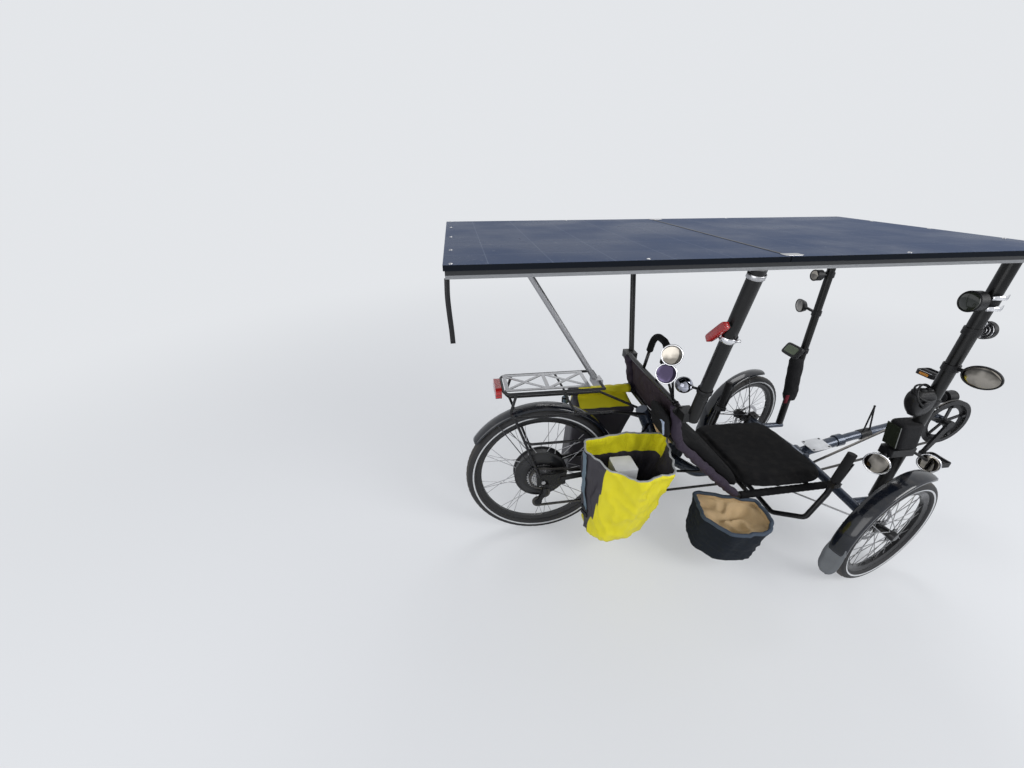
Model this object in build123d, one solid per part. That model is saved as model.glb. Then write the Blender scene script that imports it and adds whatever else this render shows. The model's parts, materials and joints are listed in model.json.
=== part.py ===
"""Tadpole recumbent tricycle with a solar roof: two steered front wheels, one driven rear wheel.

Millimetres. X runs forward, Y to the rider's left, Z up, and Z = 0 is the floor.
The model is drawn with X = 0 at the rear axle and written out with X = 0 at the middle
of its footprint.
"""
from math import asin, atan2, cos, degrees, hypot, pi, radians, sin, tan
import os

from build123d import *

# Stance
WHEELBASE = 1308.0
TRACK = 890.0
AXLE_TO_MIDDLE = 854.0
WHEEL_STEER = 13.0
SEAT_GAP = 0.3

# Tyres and rims
REAR_TYRE_R = 330.0
REAR_TYRE_W = 50.0
REAR_BEAD_R = REAR_TYRE_R - 50.5
FRONT_TYRE_R = 250.0
FRONT_TYRE_W = 46.0
FRONT_BEAD_R = FRONT_TYRE_R - 47.0
RIM_W = 26.0
RIM_LIP = 6.0
RIM_DEPTH = 22.0
RIM_WALL = 3.0
SPOKE_D = 2.2

# Front hub, brake disc and kingpin
HUB_BARREL_R = 16.0
HUB_FLANGE_R = 29.0
HUB_FLANGE_Y = 22.0
HUB_INNER_Y = 32.0
HUB_CAP_Y = 40.0
STUB_R = 7.5
RUNNING_GAP = 0.05
DISC_R = 80.0
DISC_T = 2.0
DISC_BAND = 17.0
KING_OFFSET = 80.0
KING_LEAN = 12.0
KING_PIN_R = 7.0
KING_TUBE_R = 18.0
KING_TUBE_H = 80.0
WEB_GAP = 6.0
WEB_T = 7.0
YOKE_T = 8.0
YOKE_GAP = 0.5
WHEEL_ARM = 75.0
BAR_ARM = 90.0

# Frame
MAIN_D = 50.0
BOOM_D = 40.0
MAIN_PATH = [(1490, 0, 369), (1330, 0, 322), (1200, 0, 262), (1060, 0, 245), (760, 0, 245), (545, 0, 390),
             (432, 0, 622)]
MAIN_BEND_R = 90.0
BOTTOM_BRACKET = (1945.0, 0.0, 468.0)
BOOM_INSERT = 90.0
BEAM_D = 38.0
BEAM_X = 1285.0
BEAM_Z = 303.0
OUTRIGGER_D = 28.0

# Rear fork
FORK_D = 24.0
DROPOUT_Y = 69.0
DROPOUT_T = 6.0
FORK_BRIDGE = (452.0, 386.0)
REAR_AXLE_R = 6.0
AXLE_STUB_R = 5.0
AXLE_STUB = 19.0

# Hub motor and cassette
MOTOR_R = 119.0
MOTOR_FLANGE_Y = 20.0
MOTOR_COVER_Y = 34.0
SPROCKET_T = 1.8
CHAIN_Y = -50.0
CHAIN_W = 7.0
CHAIN_H = 9.0
CHAIN_GAP = 0.8
PITCH = 12.7
RING_TEETH = 52
DRIVEN_TEETH = 23

# Roof
ROOF_REAR_X = -349.0
ROOF_LENGTH = 1820.0
ROOF_SEAM_X = 543.0
ROOF_W = 872.0
ROOF_TOP_Z = 1336.0
PANEL_T = 14.0
RAIL = 20.0


def gear_radius(teeth):
    """Pitch radius of a chain wheel."""
    return PITCH / (2 * sin(pi / teeth))


def rod(start, end, diameter):
    """Straight round bar between two points."""
    a, b = Vector(*start), Vector(*end)
    return Plane(origin=(a + b) * 0.5, z_dir=b - a) * Cylinder(diameter / 2, (b - a).length)


def bent_tube(points, diameter, bend):
    """Round tube along straight runs joined by tangent arcs."""
    path = FilletPolyline(*points, radius=bend)
    return sweep(Plane(origin=path @ 0, z_dir=path % 0) * Circle(diameter / 2), path=path)


def block(low, high):
    """Box between two opposite corners."""
    size = [h - l for l, h in zip(low, high)]
    return Pos(*[(l + h) / 2 for l, h in zip(low, high)]) * Box(*size)


def turned(outline):
    """Body of revolution about Y from (radius, y) points."""
    return revolve(make_face(Polyline(*outline, close=True)), axis=Axis.Y)


def mirrored(shape):
    return mirror(shape, about=Plane.XZ)


NODES = {}


def add(name, *pieces):
    """Keep a node: one or more solids under one name."""
    NODES[name] = pieces[0] if len(pieces) == 1 else Compound(children=list(pieces))


# Wheels, drawn about Y at the origin with the outer side at +Y

def tyre(outer_r, width, bead_r):
    """Slick round tyre seated on its rim's lips."""
    inner_r = bead_r + RIM_LIP + SEAT_GAP
    side_r = inner_r + (outer_r - inner_r) * 0.45
    edge_r = outer_r - 7.0
    half, edge = width / 2, width * 0.36
    foot = RIM_W / 2 - 1.0
    section = make_face(
        Curve()
        + ThreePointArc((inner_r, -foot), (side_r, -half), (edge_r, -edge))
        + ThreePointArc((edge_r, -edge), (outer_r, 0), (edge_r, edge))
        + ThreePointArc((edge_r, edge), (side_r, half), (inner_r, foot))
        + Line((inner_r, foot), (inner_r, -foot))
    )
    return revolve(section, axis=Axis.Y)


def rim(bead_r):
    """Box-section rim with two lips."""
    lip, half = bead_r + RIM_LIP, RIM_W / 2
    low = lip - RIM_DEPTH
    return turned([(lip, -half), (lip, -half + RIM_WALL), (bead_r, -half + RIM_WALL + 1),
                   (bead_r, half - RIM_WALL - 1), (lip, half - RIM_WALL), (lip, half),
                   (bead_r - 3, half), (low, half - 6), (low, -half + 6), (bead_r - 3, -half)])


def spokes(count, flange_r, flange_y, rim_r, lacing):
    """Crossed spokes: odd ones to the inner flange, each pair leaning opposite ways."""
    made = []
    for k in range(count):
        side = 1 if k % 2 else -1
        lean = 1 if (k // 2) % 2 else -1
        at_hub = 360.0 * k / count
        at_rim = at_hub + lean * lacing
        stagger = flange_y + lean * SPOKE_D * 0.6
        start = Vector(flange_r * cos(radians(at_hub)), side * stagger, flange_r * sin(radians(at_hub)))
        end = Vector(rim_r * cos(radians(at_rim)), side * 3.0, rim_r * sin(radians(at_rim)))
        middle = Plane(origin=(start + end) * 0.5, z_dir=end - start)
        made.append(middle * Box(SPOKE_D, SPOKE_D, (end - start).length))
    return made


def front_hub():
    """Cartridge hub shell for a stub axle, closed by an outer cap."""
    bore = STUB_R + RUNNING_GAP
    flange = HUB_FLANGE_Y + 2.0
    return turned([(bore, -HUB_INNER_Y), (22, -HUB_INNER_Y), (22, -flange), (HUB_FLANGE_R, -flange),
                   (HUB_FLANGE_R, -flange + 4), (HUB_BARREL_R, -flange + 8), (HUB_BARREL_R, flange - 8),
                   (HUB_FLANGE_R, flange - 4), (HUB_FLANGE_R, flange), (20, flange), (18, HUB_CAP_Y - 2),
                   (15, HUB_CAP_Y), (0, HUB_CAP_Y), (0, HUB_CAP_Y - 5), (bore, HUB_CAP_Y - 5)])


def front_wheel():
    body = rim(FRONT_BEAD_R)
    inner = FRONT_BEAD_R + RIM_LIP - RIM_DEPTH + 2.0
    return body.fuse(front_hub(), *spokes(32, HUB_FLANGE_R - 3, HUB_FLANGE_Y, inner, 42.0))


def brake_disc():
    """Brake disc: outer band on five arms, bolted to the hub's inner face."""
    top = -HUB_INNER_Y - SEAT_GAP
    band = Cylinder(DISC_R, DISC_T) - Cylinder(DISC_R - DISC_BAND, DISC_T)
    centre = Cylinder(24, DISC_T) - Cylinder(13, DISC_T)
    arms = [Rot(0, 0, 72 * k) * Pos(43, 0, 0) * Box(44, 9, DISC_T) for k in range(5)]
    return Pos(0, top - DISC_T / 2, 0) * (Rot(90, 0, 0) * band.fuse(centre, *arms))


# Steering frame of reference: left kingpin, drawn straight ahead

KING_POINT = (WHEELBASE, TRACK / 2 - KING_OFFSET, FRONT_TYRE_R)
KING_DIR = (0.0, -sin(radians(KING_LEAN)), cos(radians(KING_LEAN)))
KING_FRAME = Plane(origin=KING_POINT, x_dir=(1, 0, 0), z_dir=KING_DIR)
HUB_LEFT = (WHEELBASE, TRACK / 2, FRONT_TYRE_R)
ARM_DROP = KING_TUBE_H / 2 + YOKE_GAP + YOKE_T


def knuckle():
    """Yoke around the kingpin tube with its pin, stub axle, steering arm and brake post."""
    near = KING_TUBE_H / 2 + YOKE_GAP
    web_y = KING_TUBE_R + WEB_GAP
    out_y = web_y + WEB_T
    upper = block((-20, -16, near), (20, out_y, near + YOKE_T))
    lower = block((-20, -16, -near - YOKE_T), (20, out_y, -near))
    web = block((-18, web_y, -near), (18, out_y, near))
    pin = Cylinder(KING_PIN_R, 2 * (near + YOKE_T + 5))
    arm = block((20, -8, -near - YOKE_T), (WHEEL_ARM + 10, 8, -near))
    post = block((-66, web_y, 16), (-18, out_y, 32))
    boss = rod((-58, web_y + 1, 24), (-58, out_y + 14, 24), 12)
    yoke = KING_FRAME * upper.fuse(lower, web, pin, arm, post, boss)
    x, y, z = HUB_LEFT
    stub = rod((x, KING_POINT[1] + web_y + 1, z), (x, y + HUB_CAP_Y - 5 - 1.5, z), 2 * STUB_R)
    collar = rod((x, KING_POINT[1] + web_y + 1, z), (x, y - HUB_INNER_Y - 1.0, z), 22)
    return yoke.fuse(stub, collar)


def caliper():
    """Two-piston brake caliper astride the disc, behind and above the hub."""
    x, y, z = HUB_LEFT
    disc_y = y - HUB_INNER_Y - SEAT_GAP - DISC_T / 2
    body = block((-96, -12, -20), (-52, 9, 26))
    slot = block((-DISC_R - 4, -3, -40), (-44, 3, 40))
    body = fillet((body - slot).edges().filter_by(Axis.Y), 3)
    return Pos(x, disc_y, z) * Rot(0, 32, 0) * body - knuckle()


FENDER_R = FRONT_TYRE_R + 31.0
FENDER_W = 66.0
FENDER_T = 2.5
FLAP_DROP = 128.0


def fender_arc(inner_r, width, start, end):
    """Arched mudguard shell about Y; angles run from forward over the top."""
    half, t = width / 2, FENDER_T
    crown, skirt = inner_r + 3, inner_r - 8
    outline = [(skirt, -half), (crown, -half * 0.72), (inner_r + 7, 0), (crown, half * 0.72), (skirt, half),
               (skirt, half - t), (crown - t, half * 0.66), (inner_r + 7 - t, 0), (crown - t, -half * 0.66),
               (skirt, -half + t)]
    face = make_face(Polyline(*outline, close=True)).rotate(Axis.Y, -start)
    return revolve(face, axis=Axis((0, 0, 0), (0, -1, 0)), revolution_arc=end - start)


def front_fender():
    shell = Pos(*HUB_LEFT) * fender_arc(FENDER_R, FENDER_W, 76, 180)
    x, y, z = HUB_LEFT
    stays = []
    for angle, foot_x in ((100, -4), (160, -13)):
        r = FENDER_R - 6.0
        tip = (x + r * cos(radians(angle)), y - FENDER_W / 2 + 2, z + r * sin(radians(angle)))
        foot = KING_FRAME.from_local_coords(Vector(foot_x, KING_TUBE_R + WEB_GAP, ARM_DROP - 2))
        stays.append(rod(tuple(foot), tip, 6))
    return shell.fuse(mud_flap(), *stays) - knuckle()


def mud_flap():
    """Rubber flap hanging from the fender's lower end."""
    r = FENDER_R + 2
    return Pos(*HUB_LEFT) * block((-r, -29, -FLAP_DROP), (-r + 3, 29, 10))


def steering_set():
    """Left knuckle with what it carries, straight ahead."""
    here = Pos(*HUB_LEFT)
    return {
        "tyre": here * tyre(FRONT_TYRE_R, FRONT_TYRE_W, FRONT_BEAD_R),
        "wheel": here * front_wheel(),
        "brake_disc": here * brake_disc(),
        "knuckle": knuckle(),
        "caliper": caliper(),
        "fender": front_fender(),
    }


def king_axis(side):
    x, y, z = KING_POINT
    dx, dy, dz = KING_DIR
    return Axis((x, side * y, z), (dx, side * dy, dz))


LEFT_SET = steering_set()
for piece, shape in LEFT_SET.items():
    add(f"{piece}_front_left", shape.rotate(king_axis(1), WHEEL_STEER))
    add(f"{piece}_front_right", mirrored(shape).rotate(king_axis(-1), WHEEL_STEER))


# Steering bar under the seat, drawn straight ahead

BAR_D = 22.0
BAR_PIVOT = (1050.0, 0.0, 150.0)
BAR_RATIO = BAR_ARM / WHEEL_ARM
BAR_STEER = WHEEL_STEER / BAR_RATIO
BAR_SIDE = [(0, 0, 0), (-48, 199, 0), (4, 303, 52), (52, 315, 182), (84, 321, 378)]
GRIP_LENGTH = 130.0
BAR_AXIS = Axis(BAR_PIVOT, (0, 0, 1))
ROD_D = 8.0
HORN_PIN_R = 4.5
BALL_R = 7.0
BALL_GAP = 0.1
ROD_LEVEL = {1: BAR_PIVOT[2] - 26.0, -1: BAR_PIVOT[2] - 3.0}


def bar_points(side):
    px, py, pz = BAR_PIVOT
    return [(px + x, py + side * y, pz + z) for x, y, z in BAR_SIDE]


def handlebar():
    left, right = bar_points(1), bar_points(-1)
    bar = bent_tube(left[::-1] + right[1:], BAR_D, 30)
    px, py, pz = BAR_PIVOT
    boss = Pos(px, py, pz) * Cylinder(20, 34)
    horn = block((px, -14, pz - 17), (px + BAR_ARM + 12, 14, pz - 11))
    pin = Pos(px + BAR_ARM, 0, pz - 15) * Cylinder(HORN_PIN_R, 40)
    balls = [Pos(px + BAR_ARM, 0, level) * Sphere(BALL_R) for level in ROD_LEVEL.values()]
    bolt = Pos(px, py, pz + 30) * Cylinder(8, 60)
    return bar.fuse(boss, horn, pin, *balls, bolt, brake_lever(1), brake_lever(-1))


def grip(side):
    """Foam grip sleeve over the upright end of the bar."""
    *_, low, top = [Vector(*p) for p in bar_points(side)]
    along = (top - low).normalized()
    start = top - along * GRIP_LENGTH
    sleeve = Plane(origin=start, z_dir=along) * Pos(0, 0, GRIP_LENGTH / 2 + 4) * Cylinder(17, GRIP_LENGTH + 8)
    bore = Plane(origin=start, z_dir=along) * Pos(0, 0, GRIP_LENGTH / 2) * Cylinder(BAR_D / 2, GRIP_LENGTH)
    return sleeve - bore


def brake_lever(side):
    """Clamp below the grip with a lever blade in front of it."""
    *_, low, top = [Vector(*p) for p in bar_points(side)]
    along = (top - low).normalized()
    at = Plane(origin=top - along * (GRIP_LENGTH + 16), x_dir=(1, 0, 0), z_dir=along)
    clamp = Pos(6, 0, 0) * Box(44, 32, 22)
    blade = Pos(34, 0, 52) * Rot(0, 8, 0) * Box(7, 14, 104)
    return at * clamp.fuse(blade)


def bar_steered(shape):
    return shape.rotate(BAR_AXIS, BAR_STEER)


HORN_PIN = (BAR_PIVOT[0] + BAR_ARM, 0.0, BAR_PIVOT[2])


def arm_end(side):
    """Centre of the knuckle arm's lower face at its end, straight ahead."""
    spot = KING_FRAME.from_local_coords(Vector(WHEEL_ARM, 0, -ARM_DROP))
    return Vector(spot.X, side * spot.Y, spot.Z)


ROD_END_GAP = 8.0


def tie_rod(side):
    """Rod from a ball on the bar's horn pin to just under the knuckle's arm."""
    end = arm_end(side)
    start = Vector(HORN_PIN[0], 0, ROD_LEVEL[side])
    tip = Vector(end.X, end.Y, end.Z - ROD_END_GAP)
    shaft = rod(tuple(start), tuple(tip), ROD_D)
    eye = Plane(origin=start, z_dir=rod_axis(side).direction) * Cylinder(11, 8)
    outer = Pos(*tip) * Cylinder(9, 8)
    return shaft.fuse(eye, outer) - Pos(*start) * Sphere(BALL_R + BALL_GAP)


def rod_axis(side):
    """Pivot axis of a rod at the horn, leaned so that its far end follows the tilted arm."""
    end = arm_end(side)
    lean = WHEEL_ARM * BAR_RATIO * sin(radians(KING_LEAN)) / abs(end.Y)
    return Axis((HORN_PIN[0], 0, ROD_LEVEL[side]), (-lean, 0, 1))


add("handlebar", bar_steered(handlebar()))
add("grips", bar_steered(grip(1)), bar_steered(grip(-1)))
for name, side in (("left", 1), ("right", -1)):
    add(f"tie_rod_{name}", bar_steered(tie_rod(side).rotate(rod_axis(side), -BAR_STEER)))


# Frame

def main_tube():
    path = [Vector(*p) for p in MAIN_PATH]
    tube = bent_tube(path, MAIN_D, MAIN_BEND_R)
    front, back = path[0], Vector(*BOTTOM_BRACKET)
    along = (back - front).normalized()
    socket_end = path[0] - (path[0] - path[1]).normalized() * (BOOM_INSERT + 4)
    socket = rod(tuple(path[0] + (path[0] - path[1]).normalized() * 5), tuple(socket_end), BOOM_D + 0.6)
    clamp = rod(tuple(path[0] - along * 2), tuple(path[0] - along * 34), MAIN_D + 8)
    steer_boss = rod((BAR_PIVOT[0], 0, BAR_PIVOT[2] + 18), (BAR_PIVOT[0], 0, 240), 34)
    steer_bore = rod((BAR_PIVOT[0], 0, BAR_PIVOT[2]), (BAR_PIVOT[0], 0, BAR_PIVOT[2] + 62), 16.1)
    return tube.fuse(clamp, steer_boss) - socket - steer_bore


def boom():
    """Front boom: slides into the main tube and carries the bottom bracket shell."""
    back = Vector(*MAIN_PATH[0])
    front = Vector(*BOTTOM_BRACKET)
    inward = (Vector(*MAIN_PATH[1]) - back).normalized()
    path = [back + inward * BOOM_INSERT, back - inward * 40, front]
    tube = bent_tube(path, BOOM_D, 300)
    shell = Pos(*BOTTOM_BRACKET) * Rot(90, 0, 0) * Cylinder(21, 68)
    bore = Pos(*BOTTOM_BRACKET) * Rot(90, 0, 0) * Cylinder(12 + RUNNING_GAP, 80)
    return tube.fuse(shell) - bore


def cross_beam(main):
    pieces = []
    kx, ky, kz = KING_POINT
    lean = tan(radians(KING_LEAN))
    for side in (1, -1):
        king = KING_FRAME * Cylinder(KING_TUBE_R, KING_TUBE_H)
        bore = KING_FRAME * Cylinder(KING_PIN_R + RUNNING_GAP, KING_TUBE_H + 10)
        end = (kx - 4, ky - 10 - 10 * lean, kz + 10)
        arm = rod((BEAM_X, 0, BEAM_Z), end, BEAM_D)
        foot_y = POST_FOOT_Y
        share = foot_y / end[1]
        on_beam = (BEAM_X + share * (end[0] - BEAM_X), foot_y, BEAM_Z + share * (end[2] - BEAM_Z))
        outrigger = rod(on_beam, (POST_FOOT_X + 18, foot_y, on_beam[2]), OUTRIGGER_D)
        whole = arm.fuse(king, outrigger) - bore
        pieces.append(whole if side == 1 else mirrored(whole))
    saddle = rod((BEAM_X, -34, BEAM_Z), (BEAM_X, 34, BEAM_Z), MAIN_D + 6)
    beam = saddle.fuse(*pieces)
    keep = beam - main
    return keep


POST_FOOT_X = 1414.0
POST_FOOT_Y = 294.0
MAIN = main_tube()
add("main_tube", MAIN)
add("boom", boom())
add("cross_beam", cross_beam(MAIN))


def rear_fork():
    pieces = []
    for side in (1, -1):
        stay = bent_tube([(540, side * 30, 392), (440, side * DROPOUT_Y, FORK_BRIDGE[1] - 1),
                          (78, side * DROPOUT_Y, REAR_TYRE_R + 8)], FORK_D, 50)
        plate = block((-26, side * DROPOUT_Y - DROPOUT_T / 2, REAR_TYRE_R - 24),
                      (100, side * DROPOUT_Y + DROPOUT_T / 2, REAR_TYRE_R + 34))
        pieces += [stay, plate]
    x, z = FORK_BRIDGE
    bridge = rod((x, -DROPOUT_Y, z), (x, DROPOUT_Y, z), 20)
    yoke = block((520, -40, 372), (560, 40, 414))
    slot = rod((0, -100, REAR_TYRE_R), (0, 100, REAR_TYRE_R), 2 * REAR_AXLE_R)
    return pieces[0].fuse(*pieces[1:], bridge, yoke) - slot - MAIN


add("rear_fork", rear_fork())


def rear_axle():
    """Through axle: nut on the chain side, and a bare stub for a trailer's eye on the left."""
    shoulder = DROPOUT_Y + DROPOUT_T / 2
    axle = rod((0, -shoulder, REAR_TYRE_R), (0, shoulder, REAR_TYRE_R), 2 * REAR_AXLE_R)
    stub = rod((0, shoulder, REAR_TYRE_R), (0, shoulder + AXLE_STUB, REAR_TYRE_R), 2 * AXLE_STUB_R)
    nut = Pos(0, -shoulder - 5, REAR_TYRE_R) * Rot(90, 0, 0) * extrude(RegularPolygon(10, 6), 5, both=True)
    return axle.fuse(stub, nut)


add("rear_axle", rear_axle())


# Rear wheel

def hub_motor():
    """Direct-drive hub motor: plain drum with domed covers."""
    bore = REAR_AXLE_R + RUNNING_GAP
    flange, cover = MOTOR_FLANGE_Y + 3, MOTOR_COVER_Y
    return turned([(bore, -cover - 4), (24, -cover - 4), (28, -cover), (MOTOR_R - 32, -cover + 3),
                   (MOTOR_R - 12, -flange), (MOTOR_R, -flange), (MOTOR_R, -flange + 5),
                   (MOTOR_R - 6, -flange + 7), (MOTOR_R - 6, flange - 7), (MOTOR_R, flange - 5),
                   (MOTOR_R, flange), (MOTOR_R - 12, flange), (MOTOR_R - 32, cover - 3),
                   (28, cover), (24, cover + 4), (bore, cover + 4)])


def toothed_disc(teeth, thickness, bore):
    """Chain wheel: points of a tooth and its two gullets, repeated."""
    pitch_r = gear_radius(teeth)
    outline = []
    for k in range(teeth):
        for share, r in ((0.0, pitch_r - 3.2), (0.38, pitch_r + 2.6), (0.62, pitch_r + 2.6)):
            angle = 2 * pi * (k + share) / teeth
            outline.append((r * cos(angle), r * sin(angle)))
    disc = extrude(make_face(Polyline(*outline, close=True)), thickness / 2, both=True)
    return Rot(90, 0, 0) * (disc - Cylinder(bore, thickness))


def rear_wheel():
    inner = REAR_BEAD_R + RIM_LIP - RIM_DEPTH + 2.0
    spoke_set = spokes(36, MOTOR_R - 3, MOTOR_FLANGE_Y + 0.5, inner, 14.0)
    return rim(REAR_BEAD_R).fuse(hub_motor(), *spoke_set)


SPROCKET_TEETH = [32, 27, DRIVEN_TEETH, 19, 15]
SPROCKET_STEP = 5.0


def cassette():
    bore = REAR_AXLE_R + 1.0
    core = turned([(bore, -64), (17, -64), (17, -MOTOR_COVER_Y - 4), (bore, -MOTOR_COVER_Y - 4)])
    in_line = SPROCKET_TEETH.index(DRIVEN_TEETH)
    discs = [Pos(0, CHAIN_Y - (k - in_line) * SPROCKET_STEP, 0) * toothed_disc(teeth, SPROCKET_T, 15.0)
             for k, teeth in enumerate(SPROCKET_TEETH)]
    return core.fuse(*discs)


REAR_HUB = (0, 0, REAR_TYRE_R)
add("tyre_rear", Pos(*REAR_HUB) * tyre(REAR_TYRE_R, REAR_TYRE_W, REAR_BEAD_R))
add("wheel_rear", Pos(*REAR_HUB) * rear_wheel())
add("cassette", Pos(*REAR_HUB) * cassette())


# Cranks and pedals

CRANK_LENGTH = 170.0
CRANK_ANGLE = 68.0
PEDAL_W = 92.0
PEDAL_L = 80.0
CRANK_Y = 78.0
RING_BORE = 76.0
GUARD_R = 118.0
GUARD_BAND = 20.0
GUARD_OUT = 11.0


def crank_set():
    """Spindle, both arms, chainring and guard, right arm pointing away from CRANK_ANGLE."""
    spindle = rod((0, -CRANK_Y - 6, 0), (0, CRANK_Y + 6, 0), 24)
    parts = []
    for side, angle in ((1, CRANK_ANGLE), (-1, CRANK_ANGLE + 180)):
        out = Vector(cos(radians(angle)), 0, sin(radians(angle)))
        frame = Plane(origin=(0, side * CRANK_Y, 0), x_dir=out, z_dir=(0, 1, 0))
        arm = frame * crank_arm()
        parts.append(arm)
    ring = Pos(0, CHAIN_Y, 0) * toothed_disc(RING_TEETH, 3.0, RING_BORE)
    guard = Cylinder(GUARD_R, 3) - Cylinder(GUARD_R - GUARD_BAND, 3)
    spider = Pos(0, CHAIN_Y, 0) * Rot(90, 0, 0) * spider_arms().fuse(Pos(0, 0, GUARD_OUT) * guard)
    return spindle.fuse(*parts, ring, spider)


def crank_arm():
    """Crank arm in its own plane: tapered bar with round eyes."""
    taper = Polyline((0, -16), (CRANK_LENGTH, -11), (CRANK_LENGTH, 11), (0, 16), close=True)
    bar = extrude(make_face(taper), 5.5, both=True)
    return bar.fuse(Cylinder(19, 13), Pos(CRANK_LENGTH, 0, 0) * Cylinder(14, 13))


def spider_arms():
    """Five arms to the chainring, each with a bolt boss out to the guard."""
    reach = RING_BORE + 8
    boss_r = GUARD_R - GUARD_BAND
    arms = []
    for k in range(5):
        arm = Pos(reach / 2, 0, 0) * Box(reach, 14, 6)
        lug = Pos((reach + boss_r) / 2, 0, GUARD_OUT / 2) * Box(boss_r - reach + 10, 12, GUARD_OUT + 1)
        arms.append(Rot(0, 0, 72 * k + 20) * arm.fuse(lug))
    return Cylinder(20, 6).fuse(*arms)


def pedal(side, angle):
    """Cage pedal on its own spindle, drawn at the end of its arm."""
    out = Vector(CRANK_LENGTH * cos(radians(angle)), 0, CRANK_LENGTH * sin(radians(angle)))
    x, y, z = Vector(*BOTTOM_BRACKET) + out
    inner = side * (CRANK_Y + 6.5 + 6.0)
    outer = inner + side * PEDAL_W
    low, high = min(inner, outer), max(inner, outer)
    cage = block((x - PEDAL_L / 2, low, z - 11), (x + PEDAL_L / 2, high, z + 11))
    cage = fillet(cage.edges().filter_by(Axis.Z), 16)
    for shift in (-1, 1):
        mid = x + shift * PEDAL_L * 0.27
        cage -= block((mid - 13, low + 7, z - 20), (mid + 13, high - 7, z + 20))
    barrel = rod((x, low + 3, z), (x, high - 3, z), 24)
    spindle = rod((x, side * (CRANK_Y + 6.5 + 0.5), z), (x, inner, z), 14)
    return cage.fuse(barrel, spindle)


add("crank", Pos(*BOTTOM_BRACKET) * crank_set())
add("pedal_left", pedal(1, CRANK_ANGLE))
add("pedal_right", pedal(-1, CRANK_ANGLE + 180))


# Chain: one fixed loop in the plane of the driven sprocket

IDLER = (1215.0, 262.0)
IDLER_R = 28.0
RETURN_IDLER = (1300.0, 232.0)
RETURN_IDLER_R = 14.0
GUIDE_WHEEL = (12.0, REAR_TYRE_R - 83.0)
TENSION_WHEEL = (-14.0, REAR_TYRE_R - 132.0)
JOCKEY_R = 18.0


def tangent(c1, r1, c2, r2, turn1, turn2):
    """Tangent points of a line that leaves circle 1 and meets circle 2.

    turn is +1 where the circle lies to the left of the line, and -1 to the right.
    """
    dx, dz = c2[0] - c1[0], c2[1] - c1[1]
    dist = hypot(dx, dz)
    base = atan2(dz, dx)
    swing = asin((turn1 * r1 - turn2 * r2) / dist)
    angle = base + swing
    nx, nz = sin(angle), -cos(angle)
    return ((c1[0] + turn1 * r1 * nx, c1[1] + turn1 * r1 * nz),
            (c2[0] + turn2 * r2 * nx, c2[1] + turn2 * r2 * nz))


# Each wheel the chain meets in order: centre x, centre z, radius at the chain's middle, side
TIP = 2.6
MID_LIFT = TIP + CHAIN_GAP + CHAIN_H / 2
ROLLER_LIFT = CHAIN_H / 2 + SEAT_GAP
CHAIN_WHEELS = [
    (BOTTOM_BRACKET[0], BOTTOM_BRACKET[2], gear_radius(RING_TEETH) + MID_LIFT, 1),
    (*IDLER, IDLER_R + ROLLER_LIFT, -1),
    (0.0, REAR_TYRE_R, gear_radius(DRIVEN_TEETH) + MID_LIFT, 1),
    (*GUIDE_WHEEL, JOCKEY_R + ROLLER_LIFT, -1),
    (*TENSION_WHEEL, JOCKEY_R + ROLLER_LIFT, 1),
    (*RETURN_IDLER, RETURN_IDLER_R + ROLLER_LIFT, 1),
]


def chain():
    """Closed band of straight strands and arcs round the chain wheels."""
    lines = []
    count = len(CHAIN_WHEELS)
    for k in range(count):
        x1, z1, r1, t1 = CHAIN_WHEELS[k]
        x2, z2, r2, t2 = CHAIN_WHEELS[(k + 1) % count]
        lines.append(tangent((x1, z1), r1, (x2, z2), r2, t1, t2))
    edges = []
    for k in range(count):
        start, end = lines[k]
        edges.append(Line((start[0], CHAIN_Y, start[1]), (end[0], CHAIN_Y, end[1])))
        x, z, r, turn = CHAIN_WHEELS[(k + 1) % count]
        leave = lines[(k + 1) % count][0]
        a = atan2(end[1] - z, end[0] - x)
        b = atan2(leave[1] - z, leave[0] - x)
        sweep_angle = (b - a) * turn % (2 * pi)
        middle = a + turn * sweep_angle / 2
        edges.append(ThreePointArc((end[0], CHAIN_Y, end[1]),
                                   (x + r * cos(middle), CHAIN_Y, z + r * sin(middle)),
                                   (leave[0], CHAIN_Y, leave[1])))
    path = Wire([e.edge() for e in edges])
    start = lines[0][0]
    along = Vector(lines[0][1][0] - start[0], 0, lines[0][1][1] - start[1])
    across = Plane(origin=(start[0], CHAIN_Y, start[1]), x_dir=(0, 1, 0), z_dir=along)
    return sweep(across * Rectangle(CHAIN_W, CHAIN_H), path=path)


add("chain", chain())


def pulley(x, z, radius, width):
    wheel = Pos(x, CHAIN_Y, z) * Rot(90, 0, 0) * Cylinder(radius, width)
    return wheel


def idlers():
    """Power and return rollers on one bracket beside the main tube."""
    (x1, z1), (x2, z2) = IDLER, RETURN_IDLER
    big = pulley(x1, z1, IDLER_R, CHAIN_W)
    small = pulley(x2, z2, RETURN_IDLER_R, CHAIN_W)
    inner = CHAIN_Y + CHAIN_W / 2 + 3
    plate = block((x1 - 12, inner, z1 - 14), (x2 + 12, inner + 4, z1 + 12))
    drop = block((x2 - 12, inner, z2 - 12), (x2 + 12, inner + 4, z1))
    pins = [rod((x, CHAIN_Y - 6, z), (x, inner + 2, z), 10) for x, z in (IDLER, RETURN_IDLER)]
    lug = block((x1 - 12, inner, z1 - 10), (x1 + 14, -8, z1 + 12))
    return big.fuse(small, plate, drop, *pins, lug) - MAIN


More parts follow.
